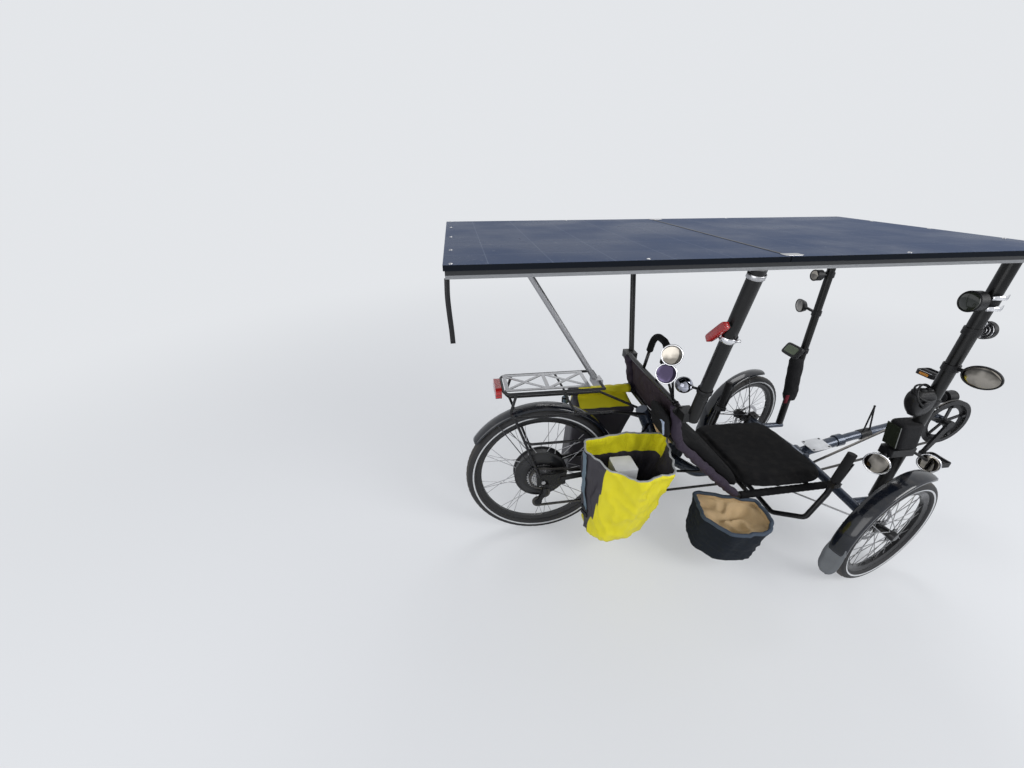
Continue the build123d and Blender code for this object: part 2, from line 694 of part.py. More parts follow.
def derailleur():
    """Cage with two jockey wheels below the rear axle."""
    x1, z1 = CHAIN_WHEELS[3][:2]
    x2, z2 = CHAIN_WHEELS[4][:2]
    wheels = [pulley(x1, z1, JOCKEY_R, CHAIN_W), pulley(x2, z2, JOCKEY_R, CHAIN_W)]
    plates = []
    for y in (CHAIN_Y - CHAIN_W / 2 - 3, CHAIN_Y + CHAIN_W / 2 + 3):
        a, b = Vector(x1, y, z1), Vector(x2, y, z2)
        plate = Plane(origin=(a + b) * 0.5, x_dir=b - a, z_dir=(0, 1, 0)) * Box((b - a).length, 20, 2)
        plates.append(plate)
    pins = [rod((x, CHAIN_Y - 9, z), (x, CHAIN_Y + 7, z), 8) for x, z in ((x1, z1), (x2, z2))]
    body = rod((x1, CHAIN_Y - 10, z1), (12, -DROPOUT_Y - DROPOUT_T / 2 - 8, REAR_TYRE_R - 26), 20)
    hanger = block((2, -DROPOUT_Y - DROPOUT_T / 2 - 12, REAR_TYRE_R - 36),
                   (24, -DROPOUT_Y - DROPOUT_T / 2, REAR_TYRE_R - 10))
    return wheels[0].fuse(wheels[1], *plates, *pins, body, hanger) - NODES["rear_fork"] - NODES["rear_axle"]


add("idlers", idlers())
add("derailleur", derailleur())


# Seat

SEAT_D = 22.0
SEAT_HALF = 225.0
SEAT_SIDE = [(1240, 308), (812, 296), (480, 606), (441, 786)]
SEAT_BARS = [(1150.0, 311.0), (860.0, 311.0), (472.8, 601.9), (442.0, 782.0)]
CUSHION_Z = 320.0
CUSHION_X = (822.0, 1246.0)
PAD_T = 48.0
PAD_BACK_T = 26.0
SLING_LIFT = 12.0
NECK_HALF = 62.0
NECK_TOP_Z = 940.0


def seat_rail(side):
    return bent_tube([(x, side * SEAT_HALF, z) for x, z in SEAT_SIDE], SEAT_D, 60)


def seat_frame():
    rails = [seat_rail(1), seat_rail(-1)]
    bars = [rod((x, -SEAT_HALF, z), (x, SEAT_HALF, z), 18) for x, z in SEAT_BARS]
    x, z = SEAT_BARS[0]
    front_leg = block((x - 14, -16, 250), (x + 14, 16, z))
    return rails[0].fuse(rails[1], *bars, front_leg) - MAIN


add("seat_frame", seat_frame())


def seat_cushion():
    low = CUSHION_Z + SEAT_GAP
    rear, front = CUSHION_X
    body = block((rear, -SEAT_HALF + 8, low), (front, SEAT_HALF - 8, low + PAD_T))
    return fillet(body.edges().filter_by(Axis.Z), 45)


def lifted(points, lift):
    """Path in X and Z moved by a distance to its forward side, with mitred corners."""
    runs = [Vector(b[0] - a[0], b[1] - a[1]).normalized() for a, b in zip(points, points[1:])]
    sides = [Vector(run.Y, -run.X) for run in runs]
    moved = []
    for k, (x, z) in enumerate(points):
        before, after = sides[max(k - 1, 0)], sides[min(k, len(sides) - 1)]
        mitre = (before + after) * (lift / (1 + before.dot(after)))
        moved.append((x + mitre.X, z + mitre.Y))
    return moved


def seat_back():
    """Padded mesh sling between the side rails."""
    rail = [(786, 320), SEAT_SIDE[2], (446, 763)]
    inner = SEAT_HALF - SEAT_D / 2 - SEAT_GAP
    lines = FilletPolyline(*[(x, 0, z) for x, z in lifted(rail, SLING_LIFT)], radius=60 - SLING_LIFT)
    start = lines % 0
    section = Plane(origin=lines @ 0, x_dir=(0, 1, 0), z_dir=start) * Rectangle(2 * inner, PAD_BACK_T)
    return sweep(section, path=lines)


def neck_rest():
    """Padded hoop above the seat back, on two legs from the seat's top bar."""
    x, z = SEAT_BARS[3]
    lean = 26.0 / (NECK_TOP_Z - z)

    def on_leg(side, height):
        return (x + lean * (height - z), side * NECK_HALF, height)

    foam_z = z + 0.62 * (NECK_TOP_Z - z)
    stalks = [rod(on_leg(side, z), on_leg(side, foam_z + 5), 14) for side in (1, -1)]
    corners = [on_leg(1, foam_z), on_leg(1, NECK_TOP_Z), on_leg(-1, NECK_TOP_Z), on_leg(-1, foam_z)]
    pad = bent_tube(corners, 28, NECK_HALF - 8)
    return pad.fuse(*stalks) - NODES["seat_frame"]


def seat_pocket():
    """Soft pocket hung outside the right side of the seat back."""
    low, high = [Vector(x, 0, z) for x, z in (SEAT_SIDE[2], SEAT_SIDE[3])]
    along = (high - low).normalized()
    back = Vector(-along.Z, 0, along.X)
    middle = low + along * 80 + back * (SEAT_D / 2 + SEAT_GAP) + Vector(0, 62 - SEAT_HALF, 0)
    base = Plane(origin=middle, x_dir=(0, 1, 0), z_dir=back)
    return base * extrude(RectangleRounded(144, 124, 22), 40, taper=12)


add("seat_cushion", seat_cushion())
add("seat_back", seat_back())
add("neck_rest", neck_rest())
add("seat_pocket", seat_pocket())


# Rear rack

RACK_Y = 80.0
RACK_Z = 778.0
RACK_D = 11.0
DECK_X = (-160.0, 172.0)
DECK_Y = 62.0


def rear_rack():
    deck = [(225, -RACK_Y, RACK_Z), (-168, -RACK_Y, RACK_Z), (-168, RACK_Y, RACK_Z), (225, RACK_Y, RACK_Z)]
    loop = bent_tube(deck, RACK_D, 28)
    front = rod((225, -RACK_Y, RACK_Z), (225, RACK_Y, RACK_Z), RACK_D)
    parts = [front]
    for side in (1, -1):
        y = side * (RACK_Y + 4)
        rail = bent_tube([(-120, side * RACK_Y, RACK_Z), (-146, y, 690), (-128, y, 672), (270, y, 672),
                          (448, side * 18, 606)], RACK_D, 12)
        leg = rod((-128, y, 672), (-16, side * (DROPOUT_Y + 8), REAR_TYRE_R + 29), RACK_D)
        out = side * (RACK_Y + 12)
        low_rail = [(-84, y, 555), (-60, out, 548), (400, out, 552), (468, side * 18, 560)]
        side_rail = bent_tube(low_rail, RACK_D, 14)
        cross = rod((60, side * RACK_Y, RACK_Z), (120, y, 672), RACK_D - 2)
        parts += [rail, leg, side_rail, cross]
    return loop.fuse(*parts) - MAIN - NODES["rear_fork"]


def rack_deck():
    """Alloy deck: four crossed strips in a frame."""
    top = RACK_Z + RACK_D / 2 + SEAT_GAP
    strips = []
    rear, front = DECK_X
    middle, bay = (rear + front) / 2, (front - rear) / 2
    for y in (-DECK_Y, DECK_Y):
        strips.append(block((rear, y - 7, top), (front, y + 7, top + 3)))
    for x in (rear + 7, middle, front - 7):
        strips.append(block((x - 7, -DECK_Y, top), (x + 7, DECK_Y, top + 3)))
    slant = degrees(atan2(2 * DECK_Y, bay))
    for x in (middle - bay / 2, middle + bay / 2):
        for turn in (slant, -slant):
            strips.append(Pos(x, 0, top + 1.5) * Rot(0, 0, turn) * Box(hypot(bay, 2 * DECK_Y) - 12, 12, 3))
    return strips[0].fuse(*strips[1:])


def tail_lamp():
    """Wide oval rear lamp under the deck's back edge."""
    oval = SlotOverall(118, 46)
    return Pos(-168 - RACK_D / 2 - SEAT_GAP, 0, 764) * Rot(0, -90, 0) * Rot(0, 0, 90) * extrude(oval, 24)


add("rear_rack", rear_rack())
add("rack_deck", rack_deck())
add("tail_lamp", tail_lamp())


REAR_FENDER_R = REAR_TYRE_R + 14.0
REAR_FENDER_W = 64.0


def rear_fender():
    """Shell over the wheel on two wire stays and a strap to the fork's bridge."""
    x, y, z = REAR_HUB
    shell = Pos(x, y, z) * fender_arc(REAR_FENDER_R, REAR_FENDER_W, 8, 146)
    bridge_x, bridge_z = FORK_BRIDGE
    strap = block((REAR_FENDER_R + 1, -9, bridge_z), (bridge_x, 9, bridge_z + 3))
    stays = []
    for side in (1, -1):
        r = REAR_FENDER_R - 5
        tip = (r * cos(radians(124)), side * (REAR_FENDER_W / 2 - 1.5), z + r * sin(radians(124)))
        stays.append(rod((-18, side * (DROPOUT_Y - DROPOUT_T / 2 + 1), z + 28), tip, 4))
    return shell.fuse(strap, *stays) - NODES["rear_fork"]


add("rear_fender", rear_fender())


# Roof and posts

RAIL_Z = ROOF_TOP_Z - PANEL_T - RAIL
RAIL_Y = ROOF_W / 2 - RAIL / 2 - 3
FRONT_POST_X = 1414.0
REAR_POST_X = -128.0
CROSS_BARS = [-310.0, REAR_POST_X, ROOF_SEAM_X - 75, ROOF_SEAM_X, 980.0, FRONT_POST_X]


def roof_rails():
    rear, front = ROOF_REAR_X + 4, ROOF_REAR_X + ROOF_LENGTH - 4
    half = RAIL / 2
    return [block((rear, y - half, RAIL_Z), (front, y + half, RAIL_Z + RAIL)) for y in (RAIL_Y, -RAIL_Y)]


def roof_bars():
    inner = RAIL_Y - RAIL / 2
    return [block((x - RAIL / 2, -inner, RAIL_Z), (x + RAIL / 2, inner, RAIL_Z + RAIL)) for x in CROSS_BARS]


def solar_panel(start, end):
    low = ROOF_TOP_Z - PANEL_T
    return block((start, -ROOF_W / 2, low), (end, ROOF_W / 2, ROOF_TOP_Z))


add("roof_frame", *roof_rails(), *roof_bars())
add("solar_panel_rear", solar_panel(ROOF_REAR_X, ROOF_SEAM_X - 1.5))
add("solar_panel_front", solar_panel(ROOF_SEAM_X + 1.5, ROOF_REAR_X + ROOF_LENGTH))

# Posts: foot, head, diameter
REAR_POST = ((222, 0, 763), (REAR_POST_X, 0, RAIL_Z), 22.0)
MIDDLE_POSTS = {
    1: ((482, 282, 745), (472, RAIL_Y - 3, RAIL_Z), 24.0),
    -1: ((482, -282, 745), (472, -RAIL_Y + 3, RAIL_Z), 42.0),
}
FRONT_POSTS = {
    1: ((POST_FOOT_X, POST_FOOT_Y, 280), (FRONT_POST_X + 2, 318, RAIL_Z), 34.0),
    -1: ((POST_FOOT_X, -POST_FOOT_Y, 280), (FRONT_POST_X + 2, -318, RAIL_Z), 43.0),
}


def post(foot, head, diameter):
    """Round post cut level just under the rail it carries."""
    a, b = Vector(*foot), Vector(*head)
    tube = rod(foot, tuple(a + (b - a) * 1.04), diameter)
    top = RAIL_Z - SEAT_GAP
    return tube - Pos(head[0], head[1], top + ROOF_W / 2) * Box(ROOF_W, ROOF_W, ROOF_W)


def rear_post():
    """Slanted rear post in a clamp on the rack's front bar."""
    clamp = fillet(block((196, -22, RACK_Z - 16), (238, 22, RACK_Z + 8)).edges().filter_by(Axis.Y), 5)
    return post(*REAR_POST).fuse(clamp) - NODES["rear_rack"] - NODES["rack_deck"]


def middle_post(side):
    """Post leaning out from the seat's shoulder, with its clamp on the side rail."""
    foot, head, diameter = MIDDLE_POSTS[side]
    x, _, z = foot
    inner = side * (SEAT_HALF + SEAT_D / 2 + SEAT_GAP)
    outer = foot[1] + side * 12
    clamp = block((441, min(inner, outer), z - 2), (x + 8, max(inner, outer), z + 32))
    jaw = rod((449, inner, z + 15), (449, inner + side * 14, z + 15), 40)
    return post(foot, head, diameter).fuse(clamp, jaw) - NODES["seat_frame"]


add("post_rear", rear_post())
add("posts_middle", middle_post(1), middle_post(-1))
add("posts_front", *[post(*FRONT_POSTS[side]) - NODES["cross_beam"] for side in (1, -1)])


def on_line(post_line, height):
    """Centre of a post at a height."""
    foot, head, _ = post_line
    share = (height - foot[2]) / (head[2] - foot[2])
    return tuple(f + share * (h - f) for f, h in zip(foot, head))


def on_post(side, height):
    return on_line(FRONT_POSTS[side], height)


# Fabric wraps: low and high end, width across and along, middle's offset at both ends
SLEEVES = {
    1: (430, 676, 56, 78, 10, -22),
    -1: (562, 676, 66, 94, -22, -46),
}


def sleeve(side):
    """Padded fabric wrap around a front post."""
    low, high, across, along, low_shift, high_shift = SLEEVES[side]
    foot, head, post_d = FRONT_POSTS[side]
    ends = []
    for height, shift in ((low, low_shift), (high, high_shift)):
        x, y, z = on_post(side, height)
        ends.append(Plane(origin=(x + shift, y, z)) * SlotOverall(along, across))
    return loft(ends) - rod(foot, head, post_d + 2 * SEAT_GAP)


add("post_covers", sleeve(1), sleeve(-1))

LAMP_DROP = {1: 208.0, -1: 149.0}
LAMP_R = {1: 25.0, -1: 34.0}
HORN_DROP = 255.0
MIRROR_DROP = 393.0


def on_band(side, height, pieces):
    """Pieces fused to a clamp band on a front post, clear of the post itself."""
    diameter = FRONT_POSTS[side][2]
    band = rod(on_post(side, height - 12), on_post(side, height + 12), diameter + 8)
    return band.fuse(*pieces) - rod(*FRONT_POSTS[side][:2], diameter)


def post_lamp(side):
    """Round lamp behind a front post."""
    height, r = RAIL_Z - LAMP_DROP[side], LAMP_R[side]
    x, y, z = on_post(side, height)
    shell = Pos(x - 62, y, z) * Rot(0, 90, 0) * (Cylinder(r, 30) + Pos(0, 0, 20) * Cone(r * 0.8, r * 0.5, 14))
    return on_band(side, height, [shell, rod((x - 40, y, z), (x, y, z), 16)])


def horn():
    """Round horn ahead of the right front post, with its chromed face to the rear."""
    height = RAIL_Z - HORN_DROP
    x, y, z = on_post(-1, height)
    shell = Pos(x + 54, y, z) * Rot(0, -90, 0) * (Cylinder(31, 16) + Pos(0, 0, -14) * Cone(17, 29, 14))
    return on_band(-1, height, [shell, rod((x + 48, y, z), (x, y, z), 12)])


# Mirror heads: half width, half height, turn towards the rider
MIRRORS = {1: (54, 31, -24), -1: (52, 39, 18)}


def front_mirror(side):
    """Oval mirror on an arm outboard of a front post, its glass to the rear."""
    half_w, half_h, turn = MIRRORS[side]
    height = RAIL_Z - MIRROR_DROP
    x, y, z = on_post(side, height)
    head_y = y + side * 100
    glass = Pos(x - 6, head_y, z + 8) * Rot(0, 0, turn) * Rot(0, 90, 0) * Rot(0, 0, 90)
    head = glass * extrude(Ellipse(half_w, half_h), 16, taper=24)
    lip = glass * Pos(0, 0, -6) * extrude(Ellipse(half_w, half_h), 6)
    arm = rod((x, y, z), (x + 2, head_y - side * 24, z + 6), 13)
    return on_band(side, height, [head, lip, arm])


def low_mirrors():
    """Block around the right front post with a round mirror on an arm at each end."""
    x, y, z = on_post(-1, 540)
    body = block((x - 84, y - 27, z - 16), (x + 36, y + 27, z + 16))
    body = fillet(body.edges().filter_by(Axis.Z), 12)
    pieces = [body]
    for reach, drop, r, end in ((-132, 34, 43, -72), (117, 59, 37, 26)):
        centre = (x + reach, y - 31, z - drop)
        glass = Plane(origin=centre, x_dir=(0, 1, 0), z_dir=(-1, -0.45, 0.1))
        pieces.append(glass * Pos(0, 0, -4) * Cylinder(r, 10))
        pieces.append(glass * Pos(0, 0, -14) * Cone(r * 0.4, r * 0.8, 10))
        pieces.append(rod((x + end, y - 8, z), tuple(glass.from_local_coords(Vector(0, 0, -14))), 11))
    return on_band(-1, 540, pieces)


def boom_height(x):
    """Height of the boom's middle line."""
    back, front = MAIN_PATH[0], BOTTOM_BRACKET
    return back[2] + (front[2] - back[2]) * (x - back[0]) / (front[0] - back[0])


def boom_band(x, length):
    slope = boom_height(1) - boom_height(0)
    half, z = length / 2, boom_height(x)
    return rod((x - half, 0, z - slope * half), (x + half, 0, z + slope * half), BOOM_D + 8)


def headlamp():
    """Lamp standing over the bottom bracket on a stem from the boom."""
    x, _, z = BOTTOM_BRACKET
    foot = x - 62
    shell = Pos(x + 26, 0, z + 106) * Rot(0, 90, 0) * (Cylinder(29, 44) + Pos(0, 0, -34) * Cone(29, 17, 24))
    stem = rod((foot, 0, boom_height(foot)), (x + 12, 0, z + 104), 14)
    return shell.fuse(stem, boom_band(foot, 26)) - NODES["boom"]


def boom_stalk():
    """Two slim rods that meet in a point above the boom."""
    x = 1590.0
    top = (x, 0, boom_height(x) + 158)
    rods = [rod((foot, -8, boom_height(foot) + 12), top, 7) for foot in (x - 8, x + 26)]
    tip = Pos(*top) * Sphere(5)
    return boom_band(x + 9, 50).fuse(*rods, tip) - NODES["boom"]


def display():
    """Handheld display on an arm behind the left front post."""
    x, y, z = on_post(1, 712)
    case = Pos(x - 76, y - 8, z + 4) * Rot(0, -28, 0) * Box(20, 98, 62)
    case = fillet(case.edges().filter_by(Axis.Y), 4)
    return on_band(1, 712, [case, rod((x - 68, y - 6, z + 2), (x, y, z), 14)])


def control_box():
    """Tapered control box with a knob, strapped behind the right front post."""
    x, y, z = on_post(-1, 766)
    wide = Plane(origin=(x - 58, y, z + 50)) * RectangleRounded(116, 68, 14)
    narrow = Plane(origin=(x - 40, y, z - 56)) * RectangleRounded(78, 50, 12)
    knob = rod((x - 66, y - 30, z + 6), (x - 66, y - 46, z + 6), 30)
    return on_band(-1, 766, [loft([narrow, wide]), knob])


def post_reflector():
    """Red bar lamp on a band clamp behind the right middle post."""
    line = MIDDLE_POSTS[-1]
    x, y, z = on_line(line, 1090)
    band = rod(on_line(line, 1078), on_line(line, 1102), line[2] + 8)
    bar = Pos(x - 44, y, z + 6) * Rot(0, 0, 30) * Rot(32, 0, 0) * Box(20, 112, 30)
    bar = fillet(bar.edges().filter_by(GeomType.LINE), 4)
    stub = rod((x - 40, y, z + 4), (x, y, z), 14)
    return band.fuse(bar, stub) - rod(*line[:2], line[2])


add("headlamp", headlamp())
add("post_lamps", post_lamp(1), post_lamp(-1))
add("front_mirrors", front_mirror(1), front_mirror(-1), low_mirrors())
add("display", display(), control_box())
add("boom_stalk", boom_stalk())
add("horn", horn())
add("post_reflector", post_reflector())


# Bags

BAG_WALL = 4.0
PANNIER_Y = RACK_Y + 12 + RACK_D / 2 + SEAT_GAP


def rounded(points, radius):
    return fillet(make_face(Polyline(*points, close=True)).vertices(), radius)


def bag_shell(base, rim, base_z, rim_z, radius, wall):
    """Tapered soft bag, open at the top, or solid with no wall given."""
    low, high = rounded(base, radius), rounded(rim, radius)
    outer = loft([Pos(0, 0, base_z) * low, Pos(0, 0, rim_z) * high])
    if not wall:
        return outer
    inner_low = offset(low, -wall, kind=Kind.INTERSECTION)
    inner_high = offset(high, -wall, kind=Kind.INTERSECTION)
    hollow = loft([Pos(0, 0, base_z + wall) * inner_low, Pos(0, 0, rim_z + wall) * inner_high])
    return outer - hollow


# Panniers: outlines of floor and rim seen from above, Y counted out from the rack's side rail
PANNIER_RIM_Z = 556.0
CLOSED_BASE = [(160, 10), (350, 10), (345, 160), (160, 170)]
CLOSED_RIM = [(166, 6), (462, 6), (452, 166), (204, 202)]
OPEN_BASE = [(176, 10), (404, 10), (398, 130), (300, 176), (206, 176), (172, 120)]
OPEN_RIM = [(158, 6), (500, 6), (446, 216), (318, 256), (206, 166), (140, 72)]
OPEN_BASE_Z = 150.0
CLOSED_BASE_Z = 214.0


def out_from_rack(points, side):
    return [(x, side * (PANNIER_Y + y)) for x, y in points]


def hooks(side):
    """Two hooks from the bag's inner face onto the rack's side rail."""
    inner, outer = sorted((side * PANNIER_Y, side * (PANNIER_Y + 9)))
    low, high = PANNIER_RIM_Z - 20, PANNIER_RIM_Z + 4
    return [block((x - 12, inner, low), (x + 12, outer, high)) for x in (230, 360)]


def open_pannier(side):
    """Roll-top bag left open, its rim pulled wide."""
    bag = bag_shell(out_from_rack(OPEN_BASE, side), out_from_rack(OPEN_RIM, side),
                    OPEN_BASE_Z, PANNIER_RIM_Z, 24, BAG_WALL)
    return bag.fuse(*hooks(side))


def closed_pannier(side):
    """Roll-top bag rolled shut along a ridge."""
    rim_points = out_from_rack(CLOSED_RIM, side)
    bag = bag_shell(out_from_rack(CLOSED_BASE, side), rim_points, CLOSED_BASE_Z, PANNIER_RIM_Z, 24, 0)
    ridge_z = PANNIER_RIM_Z + 50
    ridge = [(x, side * y) for x, y in ((180, 178), (440, 178), (440, 206), (180, 206))]
    top = loft([Pos(0, 0, PANNIER_RIM_Z) * rounded(rim_points, 24), Pos(0, 0, ridge_z) * rounded(ridge, 6)])
    roll = Pos(310, side * 192, ridge_z + 16) * Rot(0, 90, 0) * Cylinder(21, 290)
    return bag.fuse(top, roll, *hooks(side))


POD_RIM = [(655, 160), (898, 250), (884, 372), (818, 420), (688, 416), (620, 312)]
POD_BASE = [(636, 186), (846, 262), (832, 374), (788, 398), (672, 388), (606, 302)]
POD_RIM_Z = 282.0
POD_BASE_Z = 104.0


def side_bag(side):
    """Open bag slung under the side rail on one strap."""
    base = [(x, side * y) for x, y in POD_BASE]
    rim_points = [(x, side * y) for x, y in POD_RIM]
    bag = bag_shell(base, rim_points, POD_BASE_Z, POD_RIM_Z, 26, BAG_WALL)
    strap = block((826, min(side * 208, side * 244), POD_RIM_Z - 20),
                  (850, max(side * 208, side * 244), POD_RIM_Z + 36))
    room = bent_tube([(x, side * SEAT_HALF, z) for x, z in SEAT_SIDE], SEAT_D + 2 * SEAT_GAP, 60)
    return bag.fuse(strap) - room


def battery_case():
    floor = OPEN_BASE_Z + BAG_WALL + SEAT_GAP
    case = block((248, -PANNIER_Y - 145, floor), (338, -PANNIER_Y - 55, 500))
    return fillet(case.edges().filter_by(Axis.Z), 8)


add("pannier_left", closed_pannier(1))
add("pannier_right", open_pannier(-1))
add("side_bag_left", side_bag(1))
add("side_bag_right", side_bag(-1))
add("battery_case", battery_case())


def seat_mirrors():
    """Two round mirrors on arms at the seat's right shoulder."""
    x, z = SEAT_BARS[3]
    y = -SEAT_HALF + 14
    made = []
    for head_x, head_z in ((393, 973), (385, 903)):
        glass = Plane(origin=(head_x, y - 8, head_z), x_dir=(0, 1, 0), z_dir=(1, -0.6, 0))
        made.append((glass * Cylinder(36, 12)).fuse(rod((head_x, y - 8, head_z), (x - 4, y, z), 9)))
    return made[0].fuse(made[1]) - NODES["seat_frame"]


def bell_ball():
    """Chromed ball on a short arm behind the right middle post."""
    line = MIDDLE_POSTS[-1]
    x, y, z = on_line(line, 880)
    band = rod(on_line(line, 872), on_line(line, 888), line[2] + 8)
    ball = Pos(x - 44, y + 56, z - 4) * Sphere(29)
    arm = rod((x - 30, y + 40, z - 2), (x, y, z), 9)
    return band.fuse(ball, arm) - rod(*line[:2], line[2])


add("seat_mirrors", seat_mirrors(), bell_ball())


def write_parts():
    os.makedirs("parts", exist_ok=True)
    whole = []
    for name, shape in NODES.items():
        placed = Pos(-AXLE_TO_MIDDLE, 0, 0) * shape
        export_step(placed, f"parts/{name}.step")
        whole.append(placed)
    box = Compound(children=whole).bounding_box()
    print("low", box.min, "high", box.max)


write_parts()
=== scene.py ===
# %% [markdown]
# Solar-roofed recumbent tricycle, dressed for the camera.
# The rigid frame comes from the CAD model. This lesson paints it and makes the parts that only look
# right as meshes: cloth, foam, tyre tread, fender shells, mirror glass, lenses and trim.
# Everything is in metres, with X forward, Y to the rider's left and Z up from the floor.

# %% Load the rigid frame
import json
import math

import bmesh
import bpy
from mathutils import Matrix, Vector, noise


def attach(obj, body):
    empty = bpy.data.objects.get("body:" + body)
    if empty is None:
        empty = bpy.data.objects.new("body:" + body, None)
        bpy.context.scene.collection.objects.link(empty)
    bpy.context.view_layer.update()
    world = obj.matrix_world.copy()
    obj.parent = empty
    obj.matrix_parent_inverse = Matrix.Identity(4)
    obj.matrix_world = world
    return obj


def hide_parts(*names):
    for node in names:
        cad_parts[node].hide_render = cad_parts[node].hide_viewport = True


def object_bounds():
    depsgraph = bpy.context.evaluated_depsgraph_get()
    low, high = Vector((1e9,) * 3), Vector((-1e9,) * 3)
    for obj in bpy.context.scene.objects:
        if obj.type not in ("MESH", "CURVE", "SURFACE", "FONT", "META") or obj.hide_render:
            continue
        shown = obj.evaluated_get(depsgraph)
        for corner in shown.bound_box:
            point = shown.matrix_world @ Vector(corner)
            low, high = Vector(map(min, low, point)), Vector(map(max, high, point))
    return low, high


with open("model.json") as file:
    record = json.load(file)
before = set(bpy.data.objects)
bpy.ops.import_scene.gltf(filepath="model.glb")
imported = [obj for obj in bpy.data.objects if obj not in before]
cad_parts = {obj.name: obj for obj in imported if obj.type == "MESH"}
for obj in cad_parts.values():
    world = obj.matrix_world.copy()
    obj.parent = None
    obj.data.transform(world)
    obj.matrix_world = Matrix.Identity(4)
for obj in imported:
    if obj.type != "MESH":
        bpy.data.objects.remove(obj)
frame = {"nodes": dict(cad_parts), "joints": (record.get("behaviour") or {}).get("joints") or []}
cad_low, cad_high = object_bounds()
scene = bpy.context.scene
joints = {joint["name"]: joint for joint in frame["joints"]}

# %% [markdown]
# The tricycle's drawings measure from the rear axle in millimetres.
# One small function turns such a point into the scene's metres, so sizes can be read off a drawing.
# Round and rounded-square forms come up all through, so their sums are written once.

# %% Points in drawing millimetres
AXLE_TO_MIDDLE = 854.0
REAR, LEFT, UP = Vector((-1, 0, 0)), Vector((0, 1, 0)), Vector((0, 0, 1))
CORNERS = ((1, 1), (-1, 1), (-1, -1), (1, -1))


def at(x, y, z):
    return Vector(((x - AXLE_TO_MIDDLE) / 1000, y / 1000, z / 1000))


def around(count):
    """Cosine and sine of even steps round a circle."""
    return [(math.cos(math.tau * k / count), math.sin(math.tau * k / count)) for k in range(count)]


def squareness(c, s, power):
    """What a circle's point is multiplied by to lie on a rounded square."""
    return (abs(c) ** power + abs(s) ** power) ** (-1 / power)


def signed_power(value, power):
    return math.copysign(abs(value) ** power, value)


print("rear axle:", tuple(round(value, 3) for value in at(0, 0, 330)))

# %% [markdown]
# The photograph was taken from the rider's right, a little above the roof, with a very wide phone lens.
# The lens is kept that wide: the near corner of the roof only looks stretched if the camera is close.

# %% Camera
PHOTO_WIDTH = 1024
FOCAL_PIXELS = 410.9
CAMERA_PLACE = (-314.0, -1424.0, 1539.0)
PITCH_DOWN, YAW, ROLL = 0.486, 0.130, 0.002

data = bpy.data.cameras.new("photo_camera")
data.sensor_width = 36.0
data.lens = FOCAL_PIXELS / PHOTO_WIDTH * data.sensor_width
data.clip_start, data.clip_end = 0.01, 60
camera = bpy.data.objects.new("photo_camera", data)
scene.collection.objects.link(camera)
ahead = Vector((math.sin(YAW) * math.cos(PITCH_DOWN), math.cos(YAW) * math.cos(PITCH_DOWN),
                -math.sin(PITCH_DOWN)))
right = Vector((math.cos(YAW), -math.sin(YAW), 0))
up = right.cross(ahead)
right, up = (right * math.cos(ROLL) + up * math.sin(ROLL), up * math.cos(ROLL) - right * math.sin(ROLL))
turn = Matrix((right, up, -ahead)).transposed()
camera.matrix_world = Matrix.Translation(at(*CAMERA_PLACE)) @ turn.to_4x4()
scene.camera = camera
print("lens", round(data.lens, 2), "mm")

# %% [markdown]
# Paint, rubber, cloth and metal differ in roughness and in how uneven they are.
# Each finish starts from one small class, so that a material reads as a short list of what the real
# surface does: its colour, its broad unevenness, its fine grain.

# %% A short way to write materials
class Nodes:
    """Short calls for the nodes of one tree."""

    def __init__(self, tree):
        self.tree = tree

    def node(self, kind, inputs=None, **settings):
        made = self.tree.nodes.new(kind)
        for key, value in settings.items():
            setattr(made, key, value)
        for socket, value in (inputs or {}).items():
            self.feed(made.inputs[socket], value)
        return made

    def feed(self, socket, value):
        if isinstance(value, bpy.types.NodeSocket):
            self.tree.links.new(value, socket)
        elif isinstance(value, (tuple, list)) and len(value) == 3 and socket.type == "RGBA":
            socket.default_value = (*value, 1)
        else:
            socket.default_value = value

    def math(self, operation, a, b=0.0):
        return self.node("ShaderNodeMath", {0: a, 1: b}, operation=operation).outputs[0]

    def between(self, value, low, high, out_low=0.0, out_high=1.0):
        inputs = {"Value": value, "From Min": low, "From Max": high, "To Min": out_low, "To Max": out_high}
        return self.node("ShaderNodeMapRange", inputs, interpolation_type="SMOOTHSTEP").outputs["Result"]

    def mix(self, share, a, b):
        inputs = {"Factor": share, "A": a, "B": b}
        return self.node("ShaderNodeMix", inputs, data_type="RGBA").outputs["Result"]

    def blend(self, output, share, first, second):
        """Two shaders mixed by a share, into the tree's output."""
        inputs = {0: share, 1: first.outputs[0], 2: second.outputs[0]}
        mixed = self.node("ShaderNodeMixShader", inputs)
        self.feed(self.tree.nodes[output].inputs["Surface"], mixed.outputs[0])


